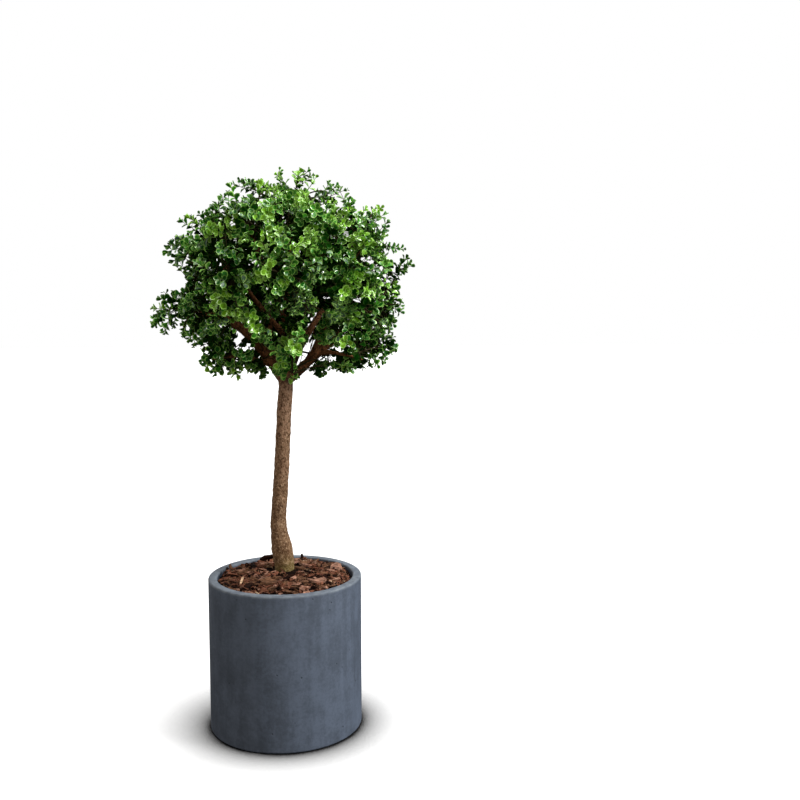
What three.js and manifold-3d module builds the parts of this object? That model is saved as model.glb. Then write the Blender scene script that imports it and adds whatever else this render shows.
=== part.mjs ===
// An artificial box ball: a loose round head of box leaves on a natural wood stem, in a round
// fibre-clay planter with a layer of bark chips on top of its filling.
// Millimetres, +Z up, +X to the right, -Y to the front. The origin is the middle of the planter's underside.
import * as THREE from "three";
import { mergeVertices } from "three/addons/utils/BufferGeometryUtils.js";
import Module from "manifold-3d";

const wasm = await Module();
wasm.setup();

// Driving dimensions
const SEAM = 0.35; // the gap between two pieces that touch
const PLANTER = { radius: 170, height: 340, wall: 19, floor: 26, rimRound: 3.5, footRound: 5, sides: 44 };
const FILLING_TOP = 304; // the filling under the bark, where the stem's flat cut stands
const BARK = { wallLevel: 327, middleLevel: 352, bump: 3, rings: 4, sides: 22, chips: 16 };
const CHIP = { shortest: 24, longest: 46, thin: 3, thick: 6 };
// The stem's middle line and diameter, from the flat cut to the fork
const STEM_STATIONS = [
  { z: FILLING_TOP + SEAM, x: 1, y: 0, diameter: 43 },
  { z: 345, x: -1, y: 0, diameter: 42 },
  { z: 378, x: -3.5, y: 0.5, diameter: 46 },
  { z: 402, x: -7, y: 1, diameter: 47 },
  { z: 430, x: -11.5, y: 2, diameter: 39.5 },
  { z: 465, x: -13.5, y: 3, diameter: 35 },
  { z: 540, x: -8, y: 3, diameter: 34 },
  { z: 620, x: -3, y: 1, diameter: 33.5 },
  { z: 700, x: 1, y: 0, diameter: 32.5 },
  { z: 765, x: 6, y: 0, diameter: 33 },
  { z: 793, x: 5, y: 0, diameter: 30 },
];
const STEM_SIDES = 10;
const STEM_STEPS = 20;
const FORK = new THREE.Vector3(5, 0, 772); // the boughs part here, inside the stem's head
const MAIN_BOUGH = { sides: 8, steps: 6 };
const SIDE_BOUGH = { sides: 6, steps: 5, steep: 30 };
const CROWN = {
  middle: new THREE.Vector3(8, 0, 985),
  sideHalf: 262,
  upHalf: 243,
  downHalf: 205,
  upPower: 2.1,
  downPower: 3.3,
  openBelow: 31, // degrees round straight down where no spray grows
};
// Where the outline swells or draws in from the plain dome: azimuth from +X, rise above level, share gained
// and width, in degrees
const LOBES = [
  { azimuth: 182, rise: -14, gain: 0.18, width: 11 },
  { azimuth: 180, rise: 1, gain: -0.17, width: 7 },
  { azimuth: 180, rise: 15, gain: 0.08, width: 8 },
  { azimuth: 180, rise: 50, gain: -0.09, width: 15 },
  { azimuth: 180, rise: -42, gain: -0.04, width: 10 },
  { azimuth: 0, rise: -10, gain: 0.07, width: 18 },
  { azimuth: 0, rise: 9, gain: 0.09, width: 10 },
  { azimuth: 356, rise: -36, gain: 0.13, width: 12 },
  { azimuth: 3, rise: 36, gain: 0.17, width: 11 },
  { azimuth: 0, rise: 66, gain: 0.06, width: 13 },
  { azimuth: 0, rise: 84, gain: 0.05, width: 11 },
  { azimuth: 268, rise: 8, gain: 0.03, width: 16 },
  { azimuth: 238, rise: -24, gain: 0.04, width: 13 },
  { azimuth: 306, rise: -22, gain: 0.04, width: 13 },
  { azimuth: 128, rise: 24, gain: -0.05, width: 13 },
  { azimuth: 100, rise: -12, gain: 0.05, width: 16 },
  { azimuth: 58, rise: 36, gain: 0.04, width: 13 },
];
// Each mass hangs on its own bough: where it lies from the head's middle, as directions and a share of the
// reach, what carries the bough, how steeply it leaves the fork or at what share of another bough it
// branches, and its radius where it starts and ends. The left bough arches higher than BEND gives the others
const BEND = 0.45;
const MASSES = [
  { name: "left", azimuth: 187, rise: -10, share: 0.66, from: "stem", steep: 58, bend: 0.82, thick: [12.5, 8] },
  { name: "right", azimuth: 350, rise: -14, share: 0.66, from: "stem", steep: 41, thick: [12, 7.5] },
  { name: "top", azimuth: 20, rise: 84, share: 0.62, from: "stem", steep: 84, thick: [10.5, 6] },
  { name: "back_left", azimuth: 128, rise: -6, share: 0.66, from: "stem", steep: 60, thick: [10, 6.5] },
  { name: "back_right", azimuth: 52, rise: -6, share: 0.66, from: "stem", steep: 60, thick: [10, 6.5] },
  { name: "low_front", azimuth: 276, rise: -58, share: 0.85, from: "stem", steep: 20, thick: [5.5, 3.8] },
  { name: "front_left", azimuth: 229, rise: -2, share: 0.66, from: "left", at: 0.38, thick: [8, 5.5] },
  { name: "low_left", azimuth: 208, rise: -42, share: 0.8, from: "left", at: 0.2, thick: [7, 4.5] },
  { name: "upper_left", azimuth: 176, rise: 30, share: 0.66, from: "left", at: 0.55, thick: [7.5, 5] },
  { name: "front_right", azimuth: 311, rise: -3, share: 0.66, from: "right", at: 0.36, thick: [8, 5.5] },
  { name: "low_right", azimuth: 336, rise: -42, share: 0.8, from: "right", at: 0.46, thick: [7, 4.5] },
  { name: "upper_right", azimuth: 6, rise: 30, share: 0.66, from: "right", at: 0.5, thick: [8, 5] },
  { name: "front", azimuth: 270, rise: 4, share: 0.66, from: "top", at: 0.2, thick: [7.5, 5] },
  { name: "upper_front_left", azimuth: 234, rise: 42, share: 0.66, from: "top", at: 0.36, thick: [8, 5] },
  { name: "upper_front_right", azimuth: 306, rise: 42, share: 0.66, from: "top", at: 0.44, thick: [8, 5] },
  { name: "upper_back", azimuth: 91, rise: 36, share: 0.66, from: "back_left", at: 0.5, thick: [7, 4.5] },
  { name: "low_back", azimuth: 90, rise: -42, share: 0.8, from: "back_right", at: 0.3, thick: [7, 4.5] },
];
const TWIG_STEM = 46; // a mass's own stem, from its bough's tip to its middle
const SPRAYS = 109; // twigs over the whole head
const TWIG = { root: 3.4, tip: 2.4, sides: 3, steps: 2, rough: 0.1, sag: 0.12 };
// A leaf here stands for a tuft of small ones, and apart is how far two leaves' middles stay from each other
const LEAF = { length: 54, width: 36, thick: 3.8, cup: 5, sunk: 0.7, widest: 0.58, apart: 30, stagger: 2.5 };
// The pairs of leaves on a twig: the share of its length where they stand, and how far they spread from it
const LEAF_PAIRS = [
  { share: 0.66, spread: 56 },
  { share: 0.95, spread: 34 },
];
const LEAF_SIZES = [1, 0.74, 0.55]; // a leaf that does not fit is tried smaller, then left out
const CORE_SHARE = 0.46; // how far a mass's core fills the way from its middle to its bounds
const CORE_REACH = 56;
const SMOOTHED = 0.05; // slivers thinner than this, left where leaves cross, are taken out
const SEED = 2718;
const DEGREE = Math.PI / 180;

// The colours, roughness and metalness of each finish
const FINISH = {
  clay: new THREE.MeshStandardMaterial({ color: 0x4a525d, roughness: 0.72, metalness: 0 }),
  filling: new THREE.MeshStandardMaterial({ color: 0x3a2c22, roughness: 0.95, metalness: 0 }),
  bark: new THREE.MeshStandardMaterial({ color: 0x5b3527, roughness: 0.9, metalness: 0 }),
  wood: new THREE.MeshStandardMaterial({ color: 0x6b5444, roughness: 0.85, metalness: 0 }),
  leaf: new THREE.MeshStandardMaterial({ color: 0x2f6a24, roughness: 0.42, metalness: 0 }),
};

// A repeatable stream of numbers from 0 to 1
function makeRandom(seed) {
  let state = seed >>> 0;
  return () => {
    state = (Math.imul(state, 1664525) + 1013904223) >>> 0;
    return state / 4294967296;
  };
}

function directionOf(azimuth, rise) {
  const a = THREE.MathUtils.degToRad(azimuth);
  const e = THREE.MathUtils.degToRad(rise);
  return new THREE.Vector3(Math.cos(a) * Math.cos(e), Math.sin(a) * Math.cos(e), Math.sin(e));
}

function solidOf(geometry) {
  const bare = geometry.clone();
  for (const name of Object.keys(bare.attributes)) {
    if (name !== "position") bare.deleteAttribute(name);
  }
  const merged = mergeVertices(bare, 1e-3);
  return new wasm.Manifold(
    new wasm.Mesh({
      numProp: 3,
      vertProperties: new Float32Array(merged.attributes.position.array),
      triVerts: new Uint32Array(merged.index.array),
    }),
  );
}

function joined(solids) {
  return solids.reduce((whole, next) => whole.add(next));
}

// The largest piece, so that a scrap that a cut leaves is dropped
function largest(solid) {
  const pieces = solid.decompose();
  return pieces.reduce((best, next) => (next.volume() > best.volume() ? next : best));
}

function meshOf(name, solid, material) {
  const made = solid.getMesh();
  const positions = new Float32Array(made.numVert * 3);
  for (let i = 0; i < made.numVert; i++) {
    positions.set(made.vertProperties.subarray(i * made.numProp, i * made.numProp + 3), i * 3);
  }
  const geometry = new THREE.BufferGeometry();
  geometry.setAttribute("position", new THREE.BufferAttribute(positions, 3));
  geometry.setIndex(new THREE.BufferAttribute(new Uint32Array(made.triVerts), 1));
  geometry.computeVertexNormals();
  const mesh = new THREE.Mesh(geometry, material);
  mesh.name = name;
  return mesh;
}

// A round limb along a curve, closed at both ends: a cylinder whose rings are moved onto the curve
function limb(curve, radiusAt, sides, steps) {
  const geometry = new THREE.CylinderGeometry(1, 1, 1, sides, steps);
  const frames = curve.computeFrenetFrames(steps, false);
  const position = geometry.attributes.position;
  const point = new THREE.Vector3();
  const whole = (value) => Math.round(value * 1e5) / 1e5; // the seam's two columns come out alike
  for (let i = 0; i < position.count; i++) {
    const step = Math.round((position.getY(i) + 0.5) * steps);
    const share = step / steps;
    const radius = radiusAt(share);
    point.copy(curve.getPointAt(share));
    point.addScaledVector(frames.normals[step], whole(position.getX(i)) * radius);
    point.addScaledVector(frames.binormals[step], -whole(position.getZ(i)) * radius);
    position.setXYZ(i, point.x, point.y, point.z);
  }
  return solidOf(geometry);
}

function taper([thick, thin], extra = 0) {
  return (share) => thick + (thin - thick) * share + extra;
}

// The planter: a straight round wall with a floor, its rim and foot rounded
function planterSolid() {
  const { radius, height, wall, floor, rimRound, footRound, sides } = PLANTER;
  const inner = radius - wall;
  const outline = new THREE.Path();
  outline.moveTo(0, 0);
  outline.lineTo(radius - footRound, 0);
  outline.absarc(radius - footRound, footRound, footRound, -Math.PI / 2, 0, false);
  outline.lineTo(radius, height - rimRound);
  outline.absarc(radius - rimRound, height - rimRound, rimRound, 0, Math.PI / 2, false);
  outline.lineTo(inner + rimRound, height);
  outline.absarc(inner + rimRound, height - rimRound, rimRound, Math.PI / 2, Math.PI, false);
  outline.lineTo(inner, floor);
  outline.lineTo(0, floor);
  const profile = outline.getPoints(1).map((p) => new THREE.Vector2(Math.max(p.x, 0), p.y));
  const turned = new THREE.LatheGeometry(profile, sides);
  turned.rotateX(Math.PI / 2);
  return solidOf(turned);
}

function fillingSolid() {
  const radius = PLANTER.radius - PLANTER.wall - SEAM;
  const bottom = PLANTER.floor + SEAM;
  const profile = [
    new THREE.Vector2(0, bottom),
    new THREE.Vector2(radius, bottom),
    new THREE.Vector2(radius, FILLING_TOP),
    new THREE.Vector2(0, FILLING_TOP),
  ];
  const turned = new THREE.LatheGeometry(profile, PLANTER.sides);
  turned.rotateX(Math.PI / 2);
  return solidOf(turned);
}

// The height of the bark layer's surface: heaped round the stem, lower at the wall
function barkLevel(x, y) {
  const inner = PLANTER.radius - PLANTER.wall;
  const share = Math.min(Math.hypot(x, y) / inner, 1);
  const heap = BARK.middleLevel + (BARK.wallLevel - BARK.middleLevel) * share ** 1.6;
  return heap + BARK.bump * Math.sin(x * 0.093 + 1) * Math.cos(y * 0.081 - x * 0.03);
}

function barkLayer() {
  const radius = PLANTER.radius - PLANTER.wall - SEAM;
  const bottom = FILLING_TOP + SEAM;
  const profile = [new THREE.Vector2(0, bottom), new THREE.Vector2(radius, bottom)];
  for (let ring = BARK.rings; ring >= 0; ring--) {
    profile.push(new THREE.Vector2((radius * ring) / BARK.rings, BARK.wallLevel));
  }
  const turned = new THREE.LatheGeometry(profile, BARK.sides);
  turned.rotateX(Math.PI / 2);
  const position = turned.attributes.position;
  for (let i = 0; i < position.count; i++) {
    if (position.getZ(i) > bottom + 1) {
      position.setZ(i, barkLevel(position.getX(i), position.getY(i)));
    }
  }
  return solidOf(turned);
}

// One flat chip of bark, lying tilted on the layer with its lower half sunk in
function chip(random) {
  const length = CHIP.shortest + (CHIP.longest - CHIP.shortest) * random() ** 2;
  const width = length * (0.35 + 0.4 * random());
  const height = CHIP.thin + (CHIP.thick - CHIP.thin) * random();
  const box = new THREE.BoxGeometry(length, width, height);
  const turn = random() * 2 * Math.PI;
  const room = PLANTER.radius - PLANTER.wall - SEAM - length * 0.62;
  const away = 30 + (room - 30) * Math.sqrt(random());
  const round = random() * 2 * Math.PI;
  const x = away * Math.cos(round);
  const y = away * Math.sin(round);
  box.rotateX((random() - 0.5) * 0.7);
  box.rotateY((random() - 0.5) * 0.6);
  box.rotateZ(turn);
  box.translate(x, y, barkLevel(x, y) + 0.5);
  return solidOf(box);
}

function barkSolid(stemClear) {
  const random = makeRandom(SEED + 1);
  const chips = Array.from({ length: BARK.chips }, () => chip(random));
  return largest(joined([barkLayer(), ...chips]).subtract(stemClear));
}

const stemCurve = new THREE.CatmullRomCurve3(STEM_STATIONS.map((s) => new THREE.Vector3(s.x, s.y, s.z)));

// The stem's radius at a share of its length, between the two nearest stations
function stemRadius(share) {
  const z = stemCurve.getPointAt(share).z;
  const above = Math.max(STEM_STATIONS.findIndex((s) => s.z >= z - 1e-6), 1);
  const [low, high] = [STEM_STATIONS[above - 1], STEM_STATIONS[above]];
  const between = THREE.MathUtils.smoothstep(z, low.z, high.z);
  return (low.diameter + (high.diameter - low.diameter) * between) / 2;
}

// Cutting the foot level takes off the tilt of the curve's first ring
function stemSolid(extra = 0) {
  const whole = limb(stemCurve, (share) => stemRadius(share) + extra, STEM_SIDES, STEM_STEPS);
  const under = new THREE.BoxGeometry(200, 200, 40);
  under.translate(0, 0, FILLING_TOP + SEAM - 20 - (extra > 0 ? 30 : 0));
  return whole.subtract(solidOf(under));
}

// The outline of the head: how far it reaches from its middle in a direction
function crownReach(direction) {
  const up = direction.z > 0;
  const power = up ? CROWN.upPower : CROWN.downPower;
  const side = Math.hypot(direction.x, direction.y) / CROWN.sideHalf;
  const rise = Math.abs(direction.z) / (up ? CROWN.upHalf : CROWN.downHalf);
  const plain = (side ** power + rise ** power) ** (-1 / power);
  let gain = 0;
  for (const lobe of LOBES) {
    const off = THREE.MathUtils.radToDeg(direction.angleTo(directionOf(lobe.azimuth, lobe.rise)));
    gain += lobe.gain * Math.exp(-((off / lobe.width) ** 2));
  }
  return plain * (1 + gain);
}

// Each mass's middle, its bough's curve and the stem that goes on from the bough's tip
function layOutMasses() {
  const laid = new Map();
  for (const mass of MASSES) {
    const outward = directionOf(mass.azimuth, mass.rise);
    const middle = CROWN.middle.clone().addScaledVector(outward, crownReach(outward) * mass.share);
    const main = mass.from === "stem";
    const start = main ? FORK.clone() : laid.get(mass.from).curve.getPointAt(mass.at);
    const tip = start.clone().lerp(middle, 1 - TWIG_STEM / start.distanceTo(middle));
    const flat = Math.hypot(tip.x - start.x, tip.y - start.y);
    const azimuth = THREE.MathUtils.radToDeg(Math.atan2(tip.y - start.y, tip.x - start.x));
    const straight = THREE.MathUtils.radToDeg(Math.atan2(tip.z - start.z, flat));
    const rise = main ? mass.steep : Math.max((SIDE_BOUGH.steep + straight) / 2, straight);
    const reach = start.distanceTo(tip) * (mass.bend ?? BEND);
    const bend = start.clone().addScaledVector(directionOf(azimuth, rise), reach);
    const curve = new THREE.QuadraticBezierCurve3(start, bend, tip);
    laid.set(mass.name, { ...mass, outward, middle, curve, tip, heading: curve.getTangentAt(1) });
  }
  return laid;
}

const masses = layOutMasses();

function boughSolid(mass, extra = 0) {
  const { sides, steps } = mass.from === "stem" ? MAIN_BOUGH : SIDE_BOUGH;
  return limb(mass.curve, taper(mass.thick, extra), sides, steps);
}

// True where a point keeps a little inside its mass's share of the head
function insideSpace(mass, point, spare) {
  const away = point.clone().sub(CROWN.middle);
  const distance = away.length();
  if (distance > crownReach(away.normalize()) * 1.02) return false;
  for (const other of masses.values()) {
    if (other === mass) continue;
    const between = other.middle.clone().sub(mass.middle);
    const half = between.length() / 2;
    if (point.clone().sub(mass.middle).dot(between.normalize()) > half - spare) return false;
  }
  return true;
}

// Points along every limb with its radius there, for keeping twigs and leaves off the wood
const woodPoints = [...masses.values()].flatMap((mass) =>
  Array.from({ length: 25 }, (_, i) => {
    const share = i / 24;
    return { at: mass.curve.getPointAt(share), radius: taper(mass.thick)(share) };
  }),
);

function clearOfWood(point, spare) {
  return woodPoints.every(({ at, radius }) => at.distanceTo(point) > radius + spare);
}

// A leaf: eight faces, widest past its middle, cupped towards its upper side
function leafPoints(scale) {
  const geometry = new THREE.OctahedronGeometry(1, 0);
  const position = geometry.attributes.position;
  for (let i = 0; i < position.count; i++) {
    const [x, y, z] = [position.getX(i), position.getY(i), position.getZ(i)];
    const ends = Math.abs(z) > 0.5;
    const along = ends ? (z > 0 ? LEAF.length : -LEAF.sunk) : LEAF.length * LEAF.widest;
    const lift = Math.abs(x) > 0.5 ? LEAF.cup : (y * LEAF.thick) / 2;
    position.setXYZ(i, (x * LEAF.width * scale) / 2, lift * scale, along * scale);
  }
  return geometry;
}

// Places a leaf with its root at a point, its tip along heading and its upper face turned to facing
function placedLeaf(root, heading, facing, scale) {
  const across = facing.clone().cross(heading).normalize();
  const up = heading.clone().cross(across).normalize();
  const geometry = leafPoints(scale);
  geometry.applyMatrix4(new THREE.Matrix4().makeBasis(across, up, heading));
  geometry.translate(root.x, root.y, root.z);
  return geometry;
}

function everyCorner(geometry, test) {
  const position = geometry.attributes.position;
  const corner = new THREE.Vector3();
  for (let i = 0; i < position.count; i++) {
    if (!test(corner.fromBufferAttribute(position, i))) return false;
  }
  return true;
}

const leafCentres = [];

// A leaf that fits its mass's space, stands off the leaves before it and touches no limb, or nothing
function fittedLeaf(mass, root, heading, facing) {
  for (const scale of LEAF_SIZES) {
    const geometry = placedLeaf(root, heading, facing, scale);
    const centre = root.clone().addScaledVector(heading, LEAF.length * scale * LEAF.widest);
    const fits =
      leafCentres.every((other) => other.distanceTo(centre) > LEAF.apart * scale) &&
      clearOfWood(centre, LEAF.width * scale * 0.6) &&
      everyCorner(geometry, (corner) => insideSpace(mass, corner, 0.6) && clearOfWood(corner, 2));
    if (fits) {
      leafCentres.push(centre);
      return solidOf(geometry);
    }
  }
  return null;
}

// Where the twigs of the whole head end, spread evenly by the golden angle, each given to its nearest mass
function sprayTips() {
  const random = makeRandom(SEED);
  const golden = Math.PI * (3 - Math.sqrt(5));
  const lowest = -Math.cos(THREE.MathUtils.degToRad(CROWN.openBelow));
  const tips = [];
  for (let i = 0; i < SPRAYS; i++) {
    const z = 1 - ((i + 0.5) / SPRAYS) * (1 - lowest);
    const round = i * golden;
    const flat = Math.sqrt(1 - z * z);
    const direction = new THREE.Vector3(flat * Math.cos(round), flat * Math.sin(round), z);
    const reach = crownReach(direction) * (1 - TWIG.rough * random() ** 1.5);
    const leafRoom = LEAF.length * 0.55;
    const tip = CROWN.middle.clone().addScaledVector(direction, reach - leafRoom);
    const nearest = [...masses.values()].reduce((best, mass) =>
      mass.middle.distanceTo(tip) < best.middle.distanceTo(tip) ? mass : best,
    );
    tips.push({ tip, direction, mass: nearest.name, along: 0.35 + 0.6 * random(), turn: random() * Math.PI });
  }
  return tips;
}

const allTips = sprayTips();

// A twig from its mass's stem to its tip, with pairs of leaves that stand crosswise to each other
function spraySolids(mass, stem, spray) {
  const root = stem.getPointAt(spray.along);
  const bend = root.clone().lerp(spray.tip, 0.5);
  bend.z += root.distanceTo(spray.tip) * TWIG.sag;
  const curve = new THREE.QuadraticBezierCurve3(root, bend, spray.tip);
  const inside = [0.3, 0.5, 0.7, 0.85, 1].every(
    (share) => insideSpace(mass, curve.getPointAt(share), 3) && clearOfWood(curve.getPointAt(share), 4),
  );
  if (!inside) return [];
  const solids = [limb(curve, taper([TWIG.root, TWIG.tip]), TWIG.sides, TWIG.steps)];
  LEAF_PAIRS.forEach(({ share, spread }, pair) => {
    const at = curve.getPointAt(share);
    const heading = curve.getTangentAt(share);
    const level = heading.clone().cross(new THREE.Vector3(0, 0, 1)).normalize();
    const [ahead, aside] = [Math.cos(spread * DEGREE), Math.sin(spread * DEGREE)];
    for (const half of [0, 1]) {
      const side = level.clone().applyAxisAngle(heading, spray.turn + (pair / 2 + half) * Math.PI);
      const leafRoot = at.clone().addScaledVector(heading, (half - 0.5) * 2 * LEAF.stagger);
      const leafHeading = heading.clone().multiplyScalar(ahead).addScaledVector(side, aside);
      const facing = heading.clone().multiplyScalar(aside).addScaledVector(side, -ahead);
      solids.push(fittedLeaf(mass, leafRoot, leafHeading, facing));
    }
  });
  return solids.filter((solid) => solid);
}

// The dense heart of a mass, drawn in from the mass's bounds
function coreSolid(mass) {
  const geometry = new THREE.IcosahedronGeometry(1, 1);
  const position = geometry.attributes.position;
  const direction = new THREE.Vector3();
  for (let i = 0; i < position.count; i++) {
    direction.fromBufferAttribute(position, i).normalize();
    let room = CORE_REACH / CORE_SHARE;
    for (let reach = 10; reach < room; reach += 4) {
      if (!insideSpace(mass, mass.middle.clone().addScaledVector(direction, reach), 1)) room = reach;
    }
    const at = mass.middle.clone().addScaledVector(direction, room * CORE_SHARE);
    position.setXYZ(i, at.x, at.y, at.z);
  }
  return solidOf(geometry);
}

function massSolid(mass, woodClear) {
  const from = mass.tip.clone().addScaledVector(mass.heading, SEAM);
  const to = mass.middle.clone().addScaledVector(mass.outward, TWIG_STEM * 0.5);
  const reach = from.distanceTo(mass.middle) * 0.5;
  const stem = new THREE.QuadraticBezierCurve3(from, from.clone().addScaledVector(mass.heading, reach), to);
  const stemSolidInside = limb(stem, taper([mass.thick[1] - 0.4, 2.2]), 6, 4);
  const sprays = allTips.filter((spray) => spray.mass === mass.name);
  const leafy = sprays.flatMap((spray) => spraySolids(mass, stem, spray));
  const whole = joined([coreSolid(mass).subtract(woodClear), stemSolidInside, ...leafy]);
  return largest(whole.subtract(woodClear)).simplify(SMOOTHED);
}

function build() {
  const head = new THREE.Group();
  const stem = stemSolid();
  const stemClear = stemSolid(SEAM);
  head.add(meshOf("planter", planterSolid(), FINISH.clay));
  head.add(meshOf("filling", fillingSolid(), FINISH.filling));
  head.add(meshOf("bark_mulch", barkSolid(stemClear), FINISH.bark));
  head.add(meshOf("trunk", stem, FINISH.wood));
  let woodClear = stemClear;
  for (const mass of masses.values()) {
    const bough = largest(boughSolid(mass).subtract(woodClear));
    head.add(meshOf(`bough_${mass.name}`, bough, FINISH.wood));
    woodClear = woodClear.add(boughSolid(mass, SEAM));
  }
  for (const mass of masses.values()) {
    head.add(meshOf(`foliage_${mass.name}`, massSolid(mass, woodClear), FINISH.leaf));
  }
  return head;
}

const topiary = build();

export default topiary;
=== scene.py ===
"""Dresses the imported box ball: planter, bark chips, stem and boughs, twigs and leaves, on a plain stage."""

import math

import bmesh
import bpy
import numpy as np
from mathutils import Matrix, Vector


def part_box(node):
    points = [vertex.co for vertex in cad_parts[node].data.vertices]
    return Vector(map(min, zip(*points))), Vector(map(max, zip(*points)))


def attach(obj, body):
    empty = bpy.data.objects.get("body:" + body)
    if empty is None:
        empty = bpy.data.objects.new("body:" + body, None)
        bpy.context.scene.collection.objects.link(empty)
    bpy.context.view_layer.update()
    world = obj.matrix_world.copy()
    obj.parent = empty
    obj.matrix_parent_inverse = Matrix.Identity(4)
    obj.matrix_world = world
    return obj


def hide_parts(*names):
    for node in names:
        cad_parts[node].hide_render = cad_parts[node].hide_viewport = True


bl_info = {
    "name": "Box Ball in Planter",
    "version": (1, 0, 0),
    "blender": (4, 5, 0),
    "location": "3D Viewport > Sidebar > Box Ball",
    "description": "Makes an artificial box ball on its stem, in a fibre-clay planter with bark chips",
    "category": "Add Mesh",
}

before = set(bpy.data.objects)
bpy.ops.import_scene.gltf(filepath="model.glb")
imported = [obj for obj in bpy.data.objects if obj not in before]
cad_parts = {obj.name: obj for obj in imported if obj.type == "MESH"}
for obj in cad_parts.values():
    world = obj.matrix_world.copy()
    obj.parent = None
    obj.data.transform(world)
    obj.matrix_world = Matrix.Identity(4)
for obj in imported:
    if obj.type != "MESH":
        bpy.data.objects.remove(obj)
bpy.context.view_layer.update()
planter_low, planter_high = (Vector(corner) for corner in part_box("planter"))

NODES = sorted(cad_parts)
WOOD_NODES = [name for name in NODES if name == "trunk" or name.startswith("bough_")]
FOLIAGE_NODES = [name for name in NODES if name.startswith("foliage_")]

# The stem's middle line and diameter, from its foot to the fork, in metres
STEM_STATIONS = (
    (0.3044, 0.001, 0.0, 0.043),
    (0.345, -0.001, 0.0, 0.042),
    (0.378, -0.0035, 0.0005, 0.046),
    (0.402, -0.007, 0.001, 0.047),
    (0.430, -0.0115, 0.002, 0.0395),
    (0.465, -0.0135, 0.003, 0.035),
    (0.540, -0.008, 0.003, 0.034),
    (0.620, -0.003, 0.001, 0.0335),
    (0.700, 0.001, 0.0, 0.0325),
    (0.765, 0.006, 0.0, 0.033),
    (0.793, 0.005, 0.0, 0.030),
)
FORK = np.array((0.005, 0.0, 0.772))
HEAD_MIDDLE = np.array((0.008, 0.0, 0.985))
HEAD_HALF = {"side": 0.262, "up": 0.243, "down": 0.205}
HEAD_POWER = {"up": 2.1, "down": 3.3}
OPEN_BELOW = 31.0
# Where the outline swells or draws in: azimuth from +X, rise above level, share gained, width in degrees
LOBES = (
    (182, -14, 0.18, 11),
    (180, 1, -0.17, 7),
    (180, 15, 0.08, 8),
    (180, 50, -0.09, 15),
    (180, -42, -0.04, 10),
    (0, -10, 0.07, 18),
    (0, 9, 0.09, 10),
    (356, -36, 0.13, 12),
    (3, 36, 0.17, 11),
    (0, 66, 0.06, 13),
    (0, 84, 0.05, 11),
    (268, 8, 0.03, 16),
    (238, -24, 0.04, 13),
    (306, -22, 0.04, 13),
    (128, 24, -0.05, 13),
    (100, -12, 0.05, 16),
    (58, 36, 0.04, 13),
)
# Each mass: azimuth, rise, share of the reach, what carries its bough, how steeply it leaves the fork or
# where on the other bough it branches, and its radius where it starts and ends
MASSES = {
    "left": (187, -10, 0.66, "stem", 58, (0.0125, 0.008)),
    "right": (350, -14, 0.66, "stem", 41, (0.012, 0.0075)),
    "top": (20, 84, 0.62, "stem", 84, (0.0105, 0.006)),
    "back_left": (128, -6, 0.66, "stem", 60, (0.010, 0.0065)),
    "back_right": (52, -6, 0.66, "stem", 60, (0.010, 0.0065)),
    "low_front": (276, -58, 0.85, "stem", 20, (0.0055, 0.0038)),
    "front_left": (229, -2, 0.66, "left", 0.38, (0.008, 0.0055)),
    "low_left": (208, -42, 0.8, "left", 0.2, (0.007, 0.0045)),
    "upper_left": (176, 30, 0.66, "left", 0.55, (0.0075, 0.005)),
    "front_right": (311, -3, 0.66, "right", 0.36, (0.008, 0.0055)),
    "low_right": (336, -42, 0.8, "right", 0.46, (0.007, 0.0045)),
    "upper_right": (6, 30, 0.66, "right", 0.5, (0.008, 0.005)),
    "front": (270, 4, 0.66, "top", 0.2, (0.0075, 0.005)),
    "upper_front_left": (234, 42, 0.66, "top", 0.36, (0.008, 0.005)),
    "upper_front_right": (306, 42, 0.66, "top", 0.44, (0.008, 0.005)),
    "upper_back": (91, 36, 0.66, "back_left", 0.5, (0.007, 0.0045)),
    "low_back": (90, -42, 0.8, "back_right", 0.3, (0.007, 0.0045)),
}
SIDE_BOUGH_STEEP = 30.0
# How far along its way a bough bends: the left one arches higher than the others
BEND = 0.45
HIGH_BEND = {"left": 0.82}
TWIG_STEM = 0.046
TWIG_STEM_END = 0.0024
TWIG_SAG = 0.12
BRANCHLETS = 109
BRANCHLET_ROUGH = 0.1
BRANCHLET_ROOTS = {"from": 0.35, "spread": 0.6}
# The stream of numbers that the solids' rule draws from
STREAM = {"factor": 1664525, "step": 1013904223, "size": 2**32}
LEAF_ROOM = 0.030
TIP_ROOM = 0.010
TUFT_DOME = 0.13
# Each twig in a tuft, and each branchlet, turns on by this much from the one before it
GOLDEN_TURN = math.pi * (3 - math.sqrt(5))
BRANCHLET_RADII = (0.0026, 0.0011)
TWIG_RADII = (0.0013, 0.0006)
# The shares of the reach between which the twigs of each layer end
LAYER_DEPTHS = {"outer": (0.94, 1.02), "inner": (0.42, 0.86), "sprig": (1.04, 1.15)}
# A leaf whose tip is past this share of the reach, and this far more, is left out
LEAF_REACH = {"share": 1.09, "more": 0.012}
WOOD_MARGIN = 0.003

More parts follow.
